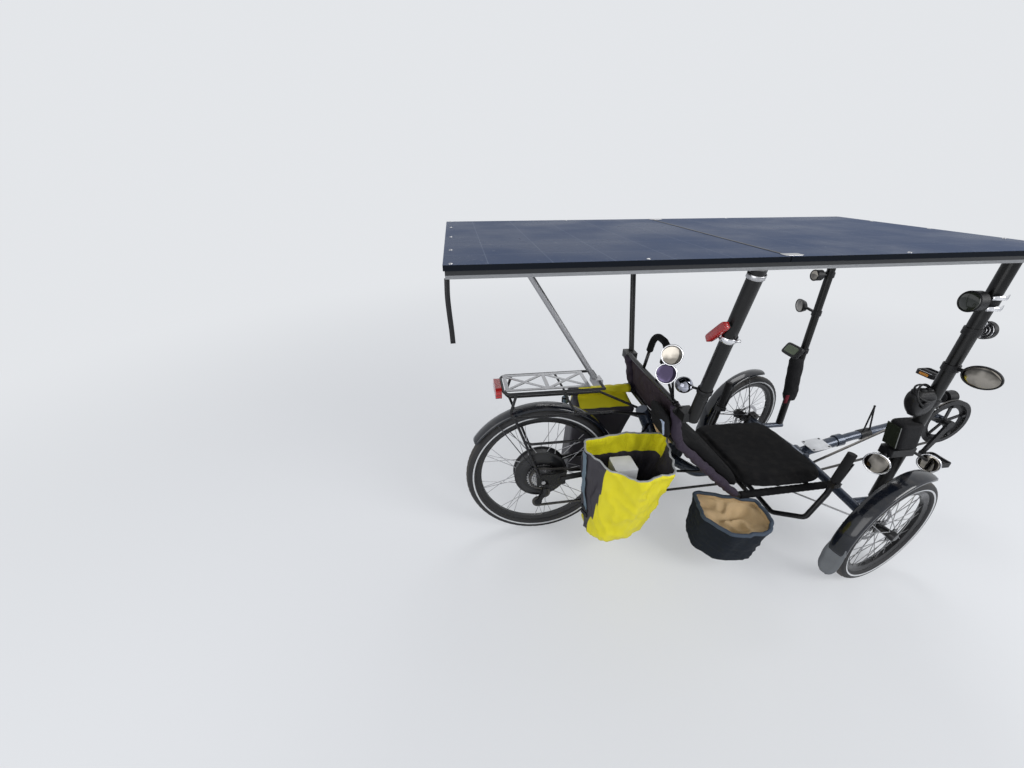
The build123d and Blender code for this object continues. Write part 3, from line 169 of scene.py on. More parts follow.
class Finish(Nodes):
    """A node material; what isn't a constant is fed by a few nodes."""

    def __init__(self, name, colour, rough, metal=0.0, coat=0.0, specular=0.5):
        self.mat = bpy.data.materials.new(name)
        self.mat.use_nodes = True
        super().__init__(self.mat.node_tree)
        self.shader = self.tree.nodes["Principled BSDF"]
        self.place = self.node("ShaderNodeTexCoord").outputs["Object"]
        for socket, value in (("Base Color", colour), ("Roughness", rough), ("Metallic", metal),
                              ("Coat Weight", coat), ("Specular IOR Level", specular)):
            self.put(socket, value)

    def put(self, name, value):
        self.feed(self.shader.inputs[name], value)

    def noise(self, scale, detail=3.0, stretch=None):
        place = self.place
        if stretch:
            place = self.node("ShaderNodeMapping", {"Vector": place, "Scale": stretch}).outputs["Vector"]
        inputs = {"Vector": place, "Scale": scale, "Detail": detail}
        return self.node("ShaderNodeTexNoise", inputs).outputs["Fac"]

    def waves(self, direction, scale, distortion=0.0):
        inputs = {"Vector": self.place, "Scale": scale, "Distortion": distortion}
        return self.node("ShaderNodeTexWave", inputs, wave_type="BANDS",
                         bands_direction=direction).outputs["Fac"]

    def drift(self, share, colour, low, high):
        """The colour, darkened and lightened between two factors."""
        return self.mix(share, tone(colour, low), tone(colour, high))

    def bump(self, height, distance, strength=0.5):
        inputs = {"Height": height, "Distance": distance, "Strength": strength}
        self.put("Normal", self.node("ShaderNodeBump", inputs).outputs["Normal"])

    def split(self, vector, letter):
        return self.node("ShaderNodeSeparateXYZ", {"Vector": vector}).outputs[letter]

    def axis(self, letter):
        return self.split(self.place, letter)

    def facing_up(self):
        normal = self.node("ShaderNodeNewGeometry").outputs["Normal"]
        return self.between(self.split(normal, "Z"), 0.2, 0.95)

    def vector(self, operation, a, b=(0, 0, 0)):
        step = self.node("ShaderNodeVectorMath", {0: a, 1: tuple(b)}, operation=operation)
        return step.outputs["Value" if operation == "LENGTH" else "Vector"]

    def radius_from(self, centre, axis):
        """Distance from a line through centre: how a wheel's rings of colour are placed."""
        across = self.vector("CROSS_PRODUCT", self.vector("SUBTRACT", self.place, centre), axis)
        return self.vector("LENGTH", across)


def tone(colour, factor):
    return tuple(min(1.0, c * factor) for c in colour)


def mottled(name, colour, rough, spread=0.2, scale=9.0, coat=0.0):
    """A finish whose colour and roughness drift a little over the surface."""
    finish = Finish(name, colour, rough, coat=coat)
    cloud = finish.noise(scale, 5.0)
    finish.put("Base Color", finish.drift(cloud, colour, 1 - spread, 1 + spread))
    finish.put("Roughness", finish.between(cloud, 0.3, 0.7, rough * 0.85, min(1.0, rough * 1.15)))
    return finish.mat


print("node calls:", [name for name in vars(Finish) if name[0] != "_"])

# %% [markdown]
# A product is judged in soft, even light: one large lamp for shape, two weaker ones for the shadows.
# The world is white only to the camera and in reflections, so the backdrop costs the object no light.
# The floor is pale and rough and keeps the shadow that seats the tyres. It fades into the backdrop.

# %% Plain light and floor
PALE, PALE_GLOW = (0.86, 0.88, 0.91), 0.9
FLOOR_HALF = 9
LAMPS = (("key", (2.8, -3.2, 3.4), (0, 0, 0.4), 2.6, 150), ("fill", (-3.4, -2.6, 1.8), (0, 0, 0.4), 3.0, 60),
         ("back", (0.6, 2.6, 4.6), (0, 0, 0.6), 2.4, 60))
scene.view_settings.view_transform = "Standard"
for name, place, aim, size, watts in LAMPS:
    data = bpy.data.lights.new(name, "AREA")
    data.size, data.energy = size, watts
    lamp = bpy.data.objects.new(name, data)
    scene.collection.objects.link(lamp)
    lamp.location = place
    lamp.rotation_euler = (Vector(aim) - Vector(place)).to_track_quat("-Z", "Y").to_euler()

scene.world = bpy.data.worlds.new("studio")
scene.world.use_nodes = True
sky = Nodes(scene.world.node_tree)
daylight = sky.tree.nodes["Background"]
sky.feed(daylight.inputs["Color"], (0.86, 0.90, 1.0))
sky.feed(daylight.inputs["Strength"], 0.42)
backdrop = sky.node("ShaderNodeBackground", {"Color": PALE, "Strength": PALE_GLOW})
rays = sky.node("ShaderNodeLightPath").outputs
seen = sky.math("MAXIMUM", rays["Is Camera Ray"], rays["Is Glossy Ray"])
sky.blend("World Output", sky.math("MAXIMUM", seen, rays["Is Transmission Ray"]), daylight, backdrop)

floor_mesh = bpy.data.meshes.new("floor")
floor_mesh.from_pydata([(a * FLOOR_HALF, b * FLOOR_HALF, 0) for a, b in CORNERS], [], [(0, 1, 2, 3)])
floor = bpy.data.objects.new("floor", floor_mesh)
scene.collection.objects.link(floor)
floor.location.z = cad_low.z - 0.0005
paint = Finish("floor", (0.80, 0.81, 0.82), 0.95, specular=0.1)
glow = paint.node("ShaderNodeEmission", {"Color": PALE, "Strength": PALE_GLOW})
fade = paint.between(paint.vector("LENGTH", paint.place), 0.9, 5.5, 0.45, 1.0)
to_camera = paint.node("ShaderNodeLightPath").outputs["Is Camera Ray"]
paint.blend("Material Output", paint.math("MULTIPLY", to_camera, fade), paint.shader, glow)
floor.data.materials.append(paint.mat)
print("lamps:", [lamp[0] for lamp in LAMPS])

# %% [markdown]
# The tubes are sprayed a dark metallic blue-grey under clear lacquer. Road dust settles on whatever
# faces up, and lightens it. Bare metal is drawn or brushed, so its unevenness is stretched one way.

# %% Paint and metal
DUST = (0.16, 0.14, 0.12)


def dusty(finish, base, amount):
    cover = finish.math("MULTIPLY", finish.facing_up(), finish.between(finish.noise(30.0, 6.0), 0.4, 0.75))
    finish.put("Base Color", finish.mix(finish.math("MULTIPLY", cover, amount), base, DUST))


def painted(name, colour, rough, metal=0.0, coat=0.5, dust=0.10):
    finish = Finish(name, colour, rough, metal, coat, 0.35)
    cloud = finish.noise(12.0, 4.0)
    dusty(finish, finish.drift(cloud, colour, 0.8, 1.25), dust)
    finish.put("Roughness", finish.between(cloud, 0.3, 0.7, rough * 0.8, rough * 1.3))
    finish.bump(finish.noise(700.0, 2.0), 0.0002, 0.15)
    return finish.mat


def brushed(name, colour, rough):
    finish = Finish(name, colour, rough, metal=1.0)
    streak = finish.noise(60.0, 4.0, stretch=(1, 1, 40))
    finish.put("Base Color", finish.drift(streak, colour, 0.75, 1.15))
    finish.put("Roughness", finish.between(streak, 0.3, 0.7, rough * 0.8, rough * 1.25))
    finish.bump(streak, 0.0002, 0.12)
    return finish.mat


def moulded(name, colour, rough, grain=1400.0, dust=0.08):
    finish = Finish(name, colour, rough, specular=0.3)
    dusty(finish, finish.drift(finish.noise(14.0, 4.0), colour, 0.8, 1.3), dust)
    finish.bump(finish.noise(grain, 2.0), 0.0003, 0.3)
    return finish.mat


def rail_alloy():
    """Bare alloy below, with a dark weather strip along the rail's upper edge."""
    finish = Finish("roof_rail_alloy", (0.30, 0.31, 0.32), 0.38, metal=1.0)
    streak = finish.noise(60.0, 4.0, stretch=(1, 30, 30))
    bare = finish.mix(streak, (0.20, 0.20, 0.21), (0.42, 0.43, 0.44))
    strip = finish.between(finish.axis("Z"), 1.3105, 1.3110)
    finish.put("Base Color", finish.mix(strip, bare, (0.012, 0.013, 0.015)))
    finish.put("Metallic", finish.between(strip, 0.0, 1.0, 1.0, 0.0))
    finish.bump(streak, 0.0002, 0.12)
    return finish.mat


FRAME_BLUE = painted("frame_blue_grey", (0.040, 0.052, 0.078), 0.26, metal=0.45)
POST_BLACK = painted("post_black", (0.006, 0.006, 0.006), 0.30, coat=0.0)
BAR_BLACK = painted("bar_black", (0.008, 0.008, 0.009), 0.28, coat=0.1)
GLOSS_BLACK = painted("fender_gloss_black", (0.007, 0.009, 0.014), 0.16, coat=0.4, dust=0.22)
ALLOY = brushed("satin_alloy", (0.40, 0.40, 0.41), 0.36)
ROOF_RAIL = rail_alloy()
STEEL = brushed("brushed_steel", (0.50, 0.50, 0.51), 0.28)
CHROME = brushed("chrome", (0.80, 0.80, 0.82), 0.08)
CHAIN_STEEL = brushed("oiled_chain_steel", (0.10, 0.095, 0.09), 0.34)
BLACK_PLASTIC = moulded("black_plastic", (0.008, 0.008, 0.009), 0.42)
WHITE_PLASTIC = moulded("white_plastic", (0.72, 0.73, 0.74), 0.40)
FOAM = moulded("grip_foam", (0.010, 0.010, 0.011), 0.85, grain=500.0)
LEAF = moulded("mud_leaf_grey", (0.16, 0.17, 0.18), 0.35, dust=0.6)
print("paints and metals:", len(bpy.data.materials))

# %% [markdown]
# A lens is bright tinted plastic with fine fluting, which scatters the light; the fluting's light and dark
# stripes are painted into its colour. A mirror has no colour of its own. On a bare white stage it would go
# blank, so it gets a painted reflection: a darkened, tinted colour with slow clouds that stand for the
# street that it would show.

# %% Lenses and mirror glass
def lens(name, colour, clear):
    finish = Finish(name, colour, 0.12, coat=0.6)
    flutes_and_painted_glints = finish.waves("Y", 90.0)
    # The fluting is real and is bumped; its light and dark stripes in the colour are painted highlight and painted
    # shade.
    finish.put("Base Color", finish.drift(flutes_and_painted_glints, colour, 0.55, 1.35))
    finish.bump(flutes_and_painted_glints, 0.0006, 0.6)
    finish.put("Transmission Weight", clear)
    return finish.mat


def mirror_glass(name, colour):
    finish = Finish(name, colour, 0.03, metal=1.0)
    # Painted reflection: these clouds darken and lighten the glass's colour in place of the street it would mirror.
    cloud = finish.between(finish.noise(14.0, 3.0), 0.38, 0.62)
    finish.put("Base Color", finish.drift(cloud, colour, 0.35, 1.3))
    finish.put("Roughness", finish.between(finish.noise(25.0, 4.0), 0.4, 0.8, 0.02, 0.10))
    return finish.mat


RED_LENS = lens("red_lens", (0.42, 0.012, 0.012), 0.1)
CLEAR_LENS = lens("clear_lens", (0.72, 0.74, 0.76), 0.3)
AMBER_LENS = lens("amber_lens", (0.75, 0.30, 0.02), 0.1)
# Painted reflections: these colours are darkened and tinted to stand for what the glass and the chrome ball would
# mirror.
MIRROR = mirror_glass("mirror_glass", (0.27, 0.25, 0.22))
DUSK_REFLECTION_MIRROR = mirror_glass("mirror_glass_painted_dusk_reflection", (0.085, 0.070, 0.125))
BALL_CHROME_PAINTED_REFLECTION = mirror_glass("ball_chrome_painted_reflection", (0.42, 0.43, 0.50))
DARK_GLASS = mottled("dark_screen_glass", (0.020, 0.024, 0.016), 0.12, coat=0.8)
REFLECTIVE = mottled("reflective_patch", (0.45, 0.53, 0.68), 0.35)
LCD = mottled("display_green", (0.055, 0.085, 0.030), 0.20, spread=0.35, scale=60.0, coat=0.5)
print("with glass:", len(bpy.data.materials))

# %% [markdown]
# The roof is a pair of thin solar sheets. Close up they show blue-black cells under a satin film, with
# hair-thin pale lines between the cells, and dried rain marks.

# %% Solar film
CELL = 0.1565


def solar_film():
    base = (0.042, 0.064, 0.122)
    finish = Finish("solar_film", base, 0.45, specular=0.012)
    lines = []
    for letter in "XY":
        share = finish.math("FRACT", finish.math("DIVIDE", finish.axis(letter), CELL))
        edge = finish.math("ABSOLUTE", finish.math("SUBTRACT", share, 0.5))
        lines.append(finish.between(edge, 0.4915, 0.4965))
    cloud = finish.noise(4.0, 6.0)
    cells = finish.drift(cloud, base, 0.86, 1.18)
    grid = finish.math("MULTIPLY", finish.math("MAXIMUM", *lines), 0.28)
    lined = finish.mix(grid, cells, (0.30, 0.34, 0.42))
    spots = finish.between(finish.noise(55.0, 3.0), 0.66, 0.72)
    spotted = finish.mix(finish.math("MULTIPLY", spots, 0.16), lined, (0.34, 0.36, 0.40))
    finish.put("Base Color", finish.mix(finish.facing_up(), (0.010, 0.012, 0.016), spotted))
    finish.put("Roughness", finish.between(cloud, 0.3, 0.7, 0.26, 0.42))
    finish.bump(finish.noise(420.0, 2.0), 0.0003, 0.2)
    return finish.mat


SOLAR = solar_film()
print("made", SOLAR.name)

# %% [markdown]
# Woven cloth is two sets of threads that go over and under each other. Bands of waves, multiplied,
# give that at thread size, and a broad noise gives the fading and handling marks.
# The panniers are of one coated cloth in two colours, split along a seam, so that finish has both.

# %% Woven cloth
def woven(name, colour, rough, threads=2600.0, depth=0.0004, spread=0.25):
    finish = Finish(name, colour, rough, specular=0.14)
    bands = [finish.waves(direction, threads / 10, 1.2) for direction in "XYZ"]
    weave = finish.math("MULTIPLY", finish.math("ADD", bands[0], bands[2]), bands[1])
    cloud = finish.noise(16.0, 6.0)
    tinted = finish.drift(cloud, colour, 1 - spread, 1 + spread)
    dusty(finish, finish.mix(finish.math("MULTIPLY", weave, 0.35), tinted, tone(colour, 1.6)), 0.04)
    finish.bump(finish.math("ADD", weave, finish.math("MULTIPLY", cloud, 1.5)), depth)
    return finish.mat


def two_tone(name, side):
    """Yellow coated cloth with a grey panel at the bag's rear and rack side."""
    finish = Finish(name, (0.74, 0.66, 0.02), 0.42, specular=0.25)
    x, y, z = (finish.axis(letter) for letter in "XYZ")
    seam = finish.math("ADD", finish.math("MULTIPLY", z, 0.085), -0.702)
    behind = finish.between(finish.math("SUBTRACT", x, seam), -0.0006, 0.0006, 1.0, 0.0)
    rack_side = finish.between(finish.math("MULTIPLY", y, side), 0.1205, 0.1215, 1.0, 0.0)
    cloud = finish.noise(16.0, 6.0)
    yellow = finish.mix(cloud, (0.66, 0.58, 0.012), (0.80, 0.72, 0.030))
    grey = finish.mix(cloud, (0.036, 0.033, 0.040), (0.058, 0.054, 0.062))
    finish.put("Base Color", finish.mix(finish.math("MAXIMUM", behind, rack_side), yellow, grey))
    fine = finish.math("MULTIPLY", finish.noise(900.0, 2.0), 0.1)
    finish.bump(finish.math("ADD", cloud, fine), 0.0012, 0.35)
    return finish.mat


SEAT_MESH = woven("seat_mesh_black", (0.005, 0.005, 0.0055), 0.85, threads=1300.0, depth=0.0008)
BACK_CLOTH = woven("back_cloth_plum_grey", (0.038, 0.028, 0.034), 0.75)
POST_CLOTH = woven("post_cover_black", (0.011, 0.011, 0.012), 0.7)
BAG_CLOTH = woven("side_bag_black", (0.010, 0.013, 0.018), 0.7)
TAN_LINING = woven("tan_lining", (0.50, 0.36, 0.20), 0.45, spread=0.35)
YELLOW_CLOTH = woven("pannier_yellow", (0.74, 0.66, 0.020), 0.42, depth=0.0002, spread=0.10)
GREY_CLOTH = woven("pannier_grey", (0.045, 0.042, 0.050), 0.55, depth=0.0003)
EDGE_TAPE = woven("pannier_edge_tape", (0.34, 0.35, 0.35), 0.6, depth=0.0002)
STRAP_WEB = woven("strap_blue_grey", (0.15, 0.20, 0.24), 0.65)
PLUM_PIPING = woven("plum_piping", (0.036, 0.028, 0.042), 0.6, depth=0.0003)
BAG_PIPING = woven("bag_piping_slate", (0.055, 0.072, 0.098), 0.6, depth=0.0003)
RED_TAG = woven("red_tag", (0.12, 0.012, 0.020), 0.7)
TWO_TONE = two_tone("pannier_two_tone_right", -1.0)
TWO_TONE_LEFT = two_tone("pannier_two_tone_left", 1.0)
print("with cloth:", len(bpy.data.materials))

# %% [markdown]
# A wheel's finishes come in rings: black rim, bare spokes, dark hub. Paint by distance from the wheel's
# own axis keeps the rings true when the wheel is steered or spun. The axes come from the joints.

# %% Rings of colour on the wheels
WHEELS = {  # joint, outer radius, radius where the tyre meets the rim, body
    "front_left": ("wheel_left_spin", 0.250, 0.203, "wheel_left"),
    "front_right": ("wheel_right_spin", 0.250, 0.203, "wheel_right"),
    "rear": ("rear_wheel_spin", 0.330, 0.2795, "rear_wheel"),
}


def wheel_line(wheel):
    joint = joints[WHEELS[wheel][0]]
    return Vector(joint["pos_m"]), Vector(joint["axis"]).normalized()


def wheel_finish(wheel):
    bead = WHEELS[wheel][2]
    finish = Finish(f"spoked_{wheel}", (0.02, 0.02, 0.02), 0.35, metal=0.3, coat=0.2)
    radius = finish.radius_from(*wheel_line(wheel))
    hub_edge = 0.121 if wheel == "rear" else 0.031
    on_rim = finish.between(radius, bead - 0.0175, bead - 0.0165)
    on_hub = finish.between(radius, hub_edge, hub_edge + 0.001, 1.0, 0.0)
    dark = finish.math("MAXIMUM", on_rim, on_hub)
    finish.put("Base Color", finish.mix(dark, (0.46, 0.46, 0.47), (0.012, 0.012, 0.013)))
    finish.put("Metallic", finish.between(dark, 0.0, 1.0, 0.95, 0.25))
    finish.put("Roughness", finish.between(finish.noise(20.0, 4.0), 0.3, 0.7, 0.24, 0.42))
    finish.bump(finish.noise(600.0, 2.0), 0.0002, 0.15)
    return finish.mat


def tyre_finish(wheel):
    """Black rubber with a pale reflective band on the sidewall and a dusty tread."""
    outer, bead = WHEELS[wheel][1:3]
    finish = Finish(f"tyre_{wheel}", (0.016, 0.016, 0.017), 0.72)
    radius = finish.radius_from(*wheel_line(wheel))
    stripe = bead + (outer - bead) * 0.40
    band = finish.math("MULTIPLY", finish.between(radius, stripe - 0.0035, stripe - 0.0028),
                       finish.between(radius, stripe + 0.0028, stripe + 0.0035, 1.0, 0.0))
    tread = finish.between(radius, outer - 0.010, outer - 0.004)
    rubber = finish.mix(tread, (0.014, 0.014, 0.015), (0.045, 0.041, 0.037))
    worn = finish.mix(finish.noise(40.0, 5.0), tone((0.60, 0.61, 0.62), 0.8), (0.62, 0.63, 0.64))
    finish.put("Base Color", finish.mix(band, rubber, worn))
    finish.bump(finish.noise(500.0, 3.0), 0.0004, 0.3)
    return finish.mat


WHEEL_FINISH = {wheel: wheel_finish(wheel) for wheel in WHEELS}
TYRE_FINISH = {wheel: tyre_finish(wheel) for wheel in WHEELS}
print("wheels:", list(WHEELS))

# %% [markdown]
# Every node of the rigid model gets a finish by name. The soft nodes are missing from this table,
# because cloth pieces further down stand in for them.

# %% Hand each node its finish
PAINT = {
    FRAME_BLUE: ["main_tube", "boom", "cross_beam"],
    POST_BLACK: ["posts_middle", "posts_front", "rear_fork"],
    BAR_BLACK: ["handlebar", "seat_frame", "rear_rack", "knuckle_front_left", "knuckle_front_right"],
    ROOF_RAIL: ["roof_frame"],
    SOLAR: ["solar_panel_front", "solar_panel_rear"],
    ALLOY: ["rack_deck", "post_rear", "tie_rod_left", "tie_rod_right"],
    STEEL: ["brake_disc_front_left", "brake_disc_front_right", "cassette", "rear_axle"],
    CHAIN_STEEL: ["chain"],
    BLACK_PLASTIC: ["caliper_front_left", "caliper_front_right", "pedal_left", "pedal_right", "idlers",
                    "derailleur", "headlamp", "post_lamps", "display", "horn", "crank", "front_mirrors",
                    "seat_mirrors", "boom_stalk"],
    GLOSS_BLACK: ["fender_front_left", "fender_front_right", "rear_fender"],
    WHITE_PLASTIC: ["battery_case"],
    FOAM: ["grips"],
    RED_LENS: ["tail_lamp", "post_reflector"],
}
for wheel in WHEELS:
    PAINT[WHEEL_FINISH[wheel]] = [f"wheel_{wheel}"]
    PAINT[TYRE_FINISH[wheel]] = [f"tyre_{wheel}"]
for material, nodes in PAINT.items():
    for node in nodes:
        mesh = frame["nodes"][node].data
        mesh.materials.clear()
        mesh.materials.append(material)
print("nodes left for cloth:", [name for name, node in frame["nodes"].items() if not node.data.materials])

# %% [markdown]
# A piece of the visible model is a mesh, one or more finishes and the body it rides on. One call keeps
# those three together. Most meshes are rings of points with faces between them, so that is written once too.

# %% Making a piece
def new_object(name, build, smooth=True):
    """Object whose mesh is filled in by build."""
    bm = bmesh.new()
    build(bm)
    bmesh.ops.recalc_face_normals(bm, faces=bm.faces)
    mesh = bpy.data.meshes.new(name)
    bm.to_mesh(mesh)
    bm.free()
    for face in mesh.polygons:
        face.use_smooth = smooth
    thing = bpy.data.objects.new(name, mesh)
    scene.collection.objects.link(thing)
    return thing


def piece(name, made, finishes, replaces=(), body="frame", smooth=True):
    """Finish a visible piece; made is its object, or the function that fills in its mesh."""
    thing = made if isinstance(made, bpy.types.Object) else new_object(name, made, smooth)
    for finish in finishes:
        thing.data.materials.append(finish)
    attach(thing, body)
    if replaces:
        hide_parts(*replaces)
    print(f"{name}: {len(thing.data.polygons)} faces")
    return thing


def skin(bm, rings, cap_first=False, cap_last=False, index=0):
    """Faces between closed rings of points, each ring with the same count."""
    rows = [[bm.verts.new(p) for p in ring] for ring in rings]
    count = len(rows[0])
    faces = []
    for low, high in zip(rows, rows[1:]):
        for k in range(count):
            n = (k + 1) % count
            faces.append(bm.faces.new((low[k], low[n], high[n], high[k])))
    if cap_first:
        faces.append(bm.faces.new(rows[0][::-1]))
    if cap_last:
        faces.append(bm.faces.new(rows[-1]))
    for face in faces:
        face.material_index = index
    return rows


def solid(bm, rings, index=0):
    return skin(bm, rings, cap_first=True, cap_last=True, index=index)


def stacked(bm, rows, sides, spot, index=0):
    """Closed form in rings: spot(share of the way, cosine, sine) gives each point."""
    solid(bm, [[spot(k / (rows - 1), c, s) for c, s in around(sides)] for k in range(rows)], index)


def plate(bm, spot, lifts, index=0):
    """Thin four-cornered plate: spot(a, b, lift) gives each corner."""
    solid(bm, [[spot(a, b, lift) for a, b in CORNERS] for lift in lifts], index)


def modified(thing, kind, **settings):
    """Add a modifier and bake it into the mesh."""
    modifier = thing.modifiers.new(kind.lower(), kind)
    for key, value in settings.items():
        setattr(modifier, key, value)
    graph = bpy.context.evaluated_depsgraph_get()
    baked = bpy.data.meshes.new_from_object(thing.evaluated_get(graph))
    thing.modifiers.remove(modifier)
    old, thing.data = thing.data, baked
    bpy.data.meshes.remove(old)
    for face in baked.polygons:
        face.use_smooth = True


# %% [markdown]
# Padding pushes its cover out until the cloth is tight. The cloth solver does the same: the cover is
# cut a little small, blown up from inside without gravity, and stopped before it leaves its place.

# %% Blowing up a padded cover
SIM_FRAMES = 20


def plump(thing, voxel, cap, pressure=4.0):
    """Even out the faces, then blow the cover up; no point moves further than cap."""
    modified(thing, "REMESH", mode="VOXEL", voxel_size=voxel)
    start = [v.co.copy() for v in thing.data.vertices]
    cloth = thing.modifiers.new("cover", "CLOTH")
    cloth.settings.use_pressure = True
    cloth.settings.uniform_pressure_force = pressure
    cloth.settings.effector_weights.gravity = 0.0
    cloth.settings.quality = 5
    cloth.point_cache.frame_start, cloth.point_cache.frame_end = 1, SIM_FRAMES
    for number in range(1, SIM_FRAMES + 1):
        scene.frame_set(number)
    graph = bpy.context.evaluated_depsgraph_get()
    swollen = thing.evaluated_get(graph).to_mesh()
    moved = [v.co.copy() for v in swollen.vertices]
    thing.evaluated_get(graph).to_mesh_clear()
    thing.modifiers.remove(cloth)
    scene.frame_set(1)
    for vertex, old, new in zip(thing.data.vertices, start, moved):
        step = new - old
        if step.length > cap:
            step *= cap / step.length
        vertex.co = old + step


print("cloth runs for", SIM_FRAMES, "frames a pad")

# %% [markdown]
# The seat cushion is foam in black spacer mesh: flat below, crowned above, with a sewn border and a
# shallow dish where the rider sits. It starts as a slightly small pillow form and is then blown up.

# %% Seat cushion
PAD = {"rear": 806, "front": 1256, "half": 243, "low": 321.5, "thick": 46}
PAD_MIDDLE = (PAD["rear"] + PAD["front"]) / 2
PAD_ROWS, PAD_TURNS = 13, 104


def pillow(bm, along, across, place):
    """Closed pillow: top and bottom sheets that meet at a rounded outline."""
    rings = []
    for k in range(PAD_ROWS):
        lift = k / (PAD_ROWS - 1) * math.pi - math.pi / 2
        inset, height = math.cos(lift) ** 0.55 if 0 < k < PAD_ROWS - 1 else 0.0, math.sin(lift)
        ring = []
        for c, s in around(PAD_TURNS):
            square = squareness(c, s, 5)
            ring.append(place(along * c * square * inset, across * s * square * inset, height))
        rings.append(ring)
    rows = skin(bm, rings[1:-1])
    for tip, row in ((rings[0][0], rows[0]), (rings[-1][0], rows[-1])):
        centre = bm.verts.new(tip)
        for j in range(PAD_TURNS):
            bm.faces.new((centre, row[j], row[(j + 1) % PAD_TURNS]))


def cushion_point(u, v, height):
    """A point of the cushion: u runs forward, v to the left, height from -1 below to 1 above."""
    narrow = 1.0 - 0.05 * (u / 207) ** 2
    low = PAD["low"] - min(6.0, max(0.0, abs(v * narrow) - 214))
    z = low + PAD["thick"] * (0.5 + 0.5 * signed_power(height, 0.8))
    z += 10 * math.exp(-((u + 195) / 55) ** 2) * max(0.0, height)
    return at(PAD_MIDDLE + u, v * narrow, z)


seat_pad = new_object("seat_pad", lambda bm: pillow(bm, 219, PAD["half"], cushion_point))
plump(seat_pad, 0.006, 0.010)
middle = at(PAD_MIDDLE, 0, 0)
for vertex in seat_pad.data.vertices:
    co = vertex.co
    if co.z < at(0, 0, PAD["low"] + 8).z:
        if abs(co.y) < 0.214:
            co.z = max(co.z, at(0, 0, PAD["low"] - 1).z)
        elif abs(co.y) > 0.239:
            co.z -= 0.014
        continue
    border = max(abs(co.x - middle.x) - 0.186, abs(co.y) - 0.202)
    dish = math.exp(-((co.x - middle.x + 0.03) / 0.13) ** 2 - (co.y / 0.12) ** 2)
    co.z -= 0.006 * math.exp(-((border / 0.006) ** 2)) + 0.010 * dish
    co.z += 0.0014 * noise.noise(co * 22) + 0.0006 * noise.noise(co * 70)
modified(seat_pad, "SUBSURF", levels=1)
piece("seat_pad", seat_pad, [SEAT_MESH], ["seat_cushion"])

# %% [markdown]
# Straps, rails and padded hoops all follow a bent path. A path is drawn as straight runs, its corners
# are cut by short curves, and points are then spread along it evenly. A slab is the small case or cover
# that such things are fixed to.

# %% Paths and sweeps
def bent(points, cut, steps=8):
    """Straight runs with each corner replaced by a short curve."""
    points = [Vector(p) for p in points]
    out = [points[0]]
    for before, corner, after in zip(points, points[1:], points[2:]):
        start = corner + (before - corner).normalized() * cut
        end = corner + (after - corner).normalized() * cut
        for k in range(steps + 1):
            t = k / steps
            out.append(start.lerp(corner, t).lerp(corner.lerp(end, t), t))
    return out + [points[-1]]


def spread(points, count):
    """Points at equal steps along a path."""
    lengths = [(b - a).length for a, b in zip(points, points[1:])]
    total, made, k, done = sum(lengths), [], 0, 0.0
    for n in range(count):
        want = total * n / (count - 1)
        while k < len(lengths) - 1 and done + lengths[k] < want:
            done += lengths[k]
            k += 1
        made.append(points[k].lerp(points[k + 1], min(1.0, (want - done) / max(lengths[k], 1e-9))))
    return made


def frames_along(points, side=LEFT):
    """A direction, a side and a top for each point, without twist."""
    made = []
    for k in range(len(points)):
        along = (points[min(k + 1, len(points) - 1)] - points[max(k - 1, 0)]).normalized()
        side = (side - along * side.dot(along)).normalized()
        made.append((along, side, along.cross(side)))
    return made


def swept(bm, points, section, side=LEFT, index=0, caps=True):
    """Sweep a section along a path: section(share) gives (side, top) offsets."""
    rings = []
    for k, (point, (_, across, top)) in enumerate(zip(points, frames_along(points, side))):
        rings.append([point + across * a + top * b for a, b in section(k / (len(points) - 1))])
    skin(bm, rings, cap_first=caps, cap_last=caps, index=index)


def round_section(radius, sides):
    """A round section whose radius may change along the way."""
    def section(share):
        r = radius(share) if callable(radius) else radius
        return [(r * c, r * s) for c, s in around(sides)]
    return section


def flat_section(wide, thick):
    return lambda share: [(a * wide / 2, b * thick / 2) for a, b in CORNERS]


def slab(bm, centre, out, right, half_wide, half_tall, half_thick, power=6, index=0):
    """Case with rounded corners and edges; out is its thin direction."""
    up = out.cross(right)
    edge = [(c * squareness(c, s, power), s * squareness(c, s, power)) for c, s in around(48)]
    solid(bm, [[centre + right * (half_wide * a * share) + up * (half_tall * b * share)
                + out * (half_thick * lift) for a, b in edge]
               for share, lift in ((0.90, -1), (0.97, -0.93), (1, -0.82), (1, 0.82), (0.97, 0.93), (0.90, 1))],
          index)


print("a bent path of three points becomes", len(bent([UP, LEFT, REAR], 0.1)), "points")

# %% [markdown]
# The seat back is a padded sling between the side rails. It is swept along the rails' side view with a
# flattened section, blown up a little, then drawn in along its sewn lines. The upright part is plum
# cloth and the lower part black mesh. Sleeves of the same cloths wrap the rails.

# %% Seat back
BACK_SIDE = [(788, 0, 321), (480, 0, 606), (447, 0, 760)]
BACK_LIFT, BACK_HALF, BACK_THICK, BACK_BEND = 12, 213, 22, 0.055
RAIL_HALF = 225


def back_path(count, lift):
    line = spread(bent([at(*p) for p in BACK_SIDE], BACK_BEND), count)
    return [p - along.cross(side) * lift / 1000 for p, (along, side, _) in zip(line, frames_along(line))]


def back_section(share):
    end = min(share, 1 - share)
    swell = min(1.0, end / 0.03) ** 0.5 if end < 0.03 else 1.0
    lower = 0.5 + 0.5 * math.cos(math.pi * min(1.0, max(0.0, (share - 0.45) / 0.25)))
    thick = BACK_THICK + 34 * lower
    ring = []
    for c, s in around(44):
        rise = signed_power(s, 0.6) * thick / 2 * (0.35 + 0.65 * swell) - 17 * lower
        ring.append((signed_power(c, 0.35) * BACK_HALF / 1000, rise / 1000))
    return ring


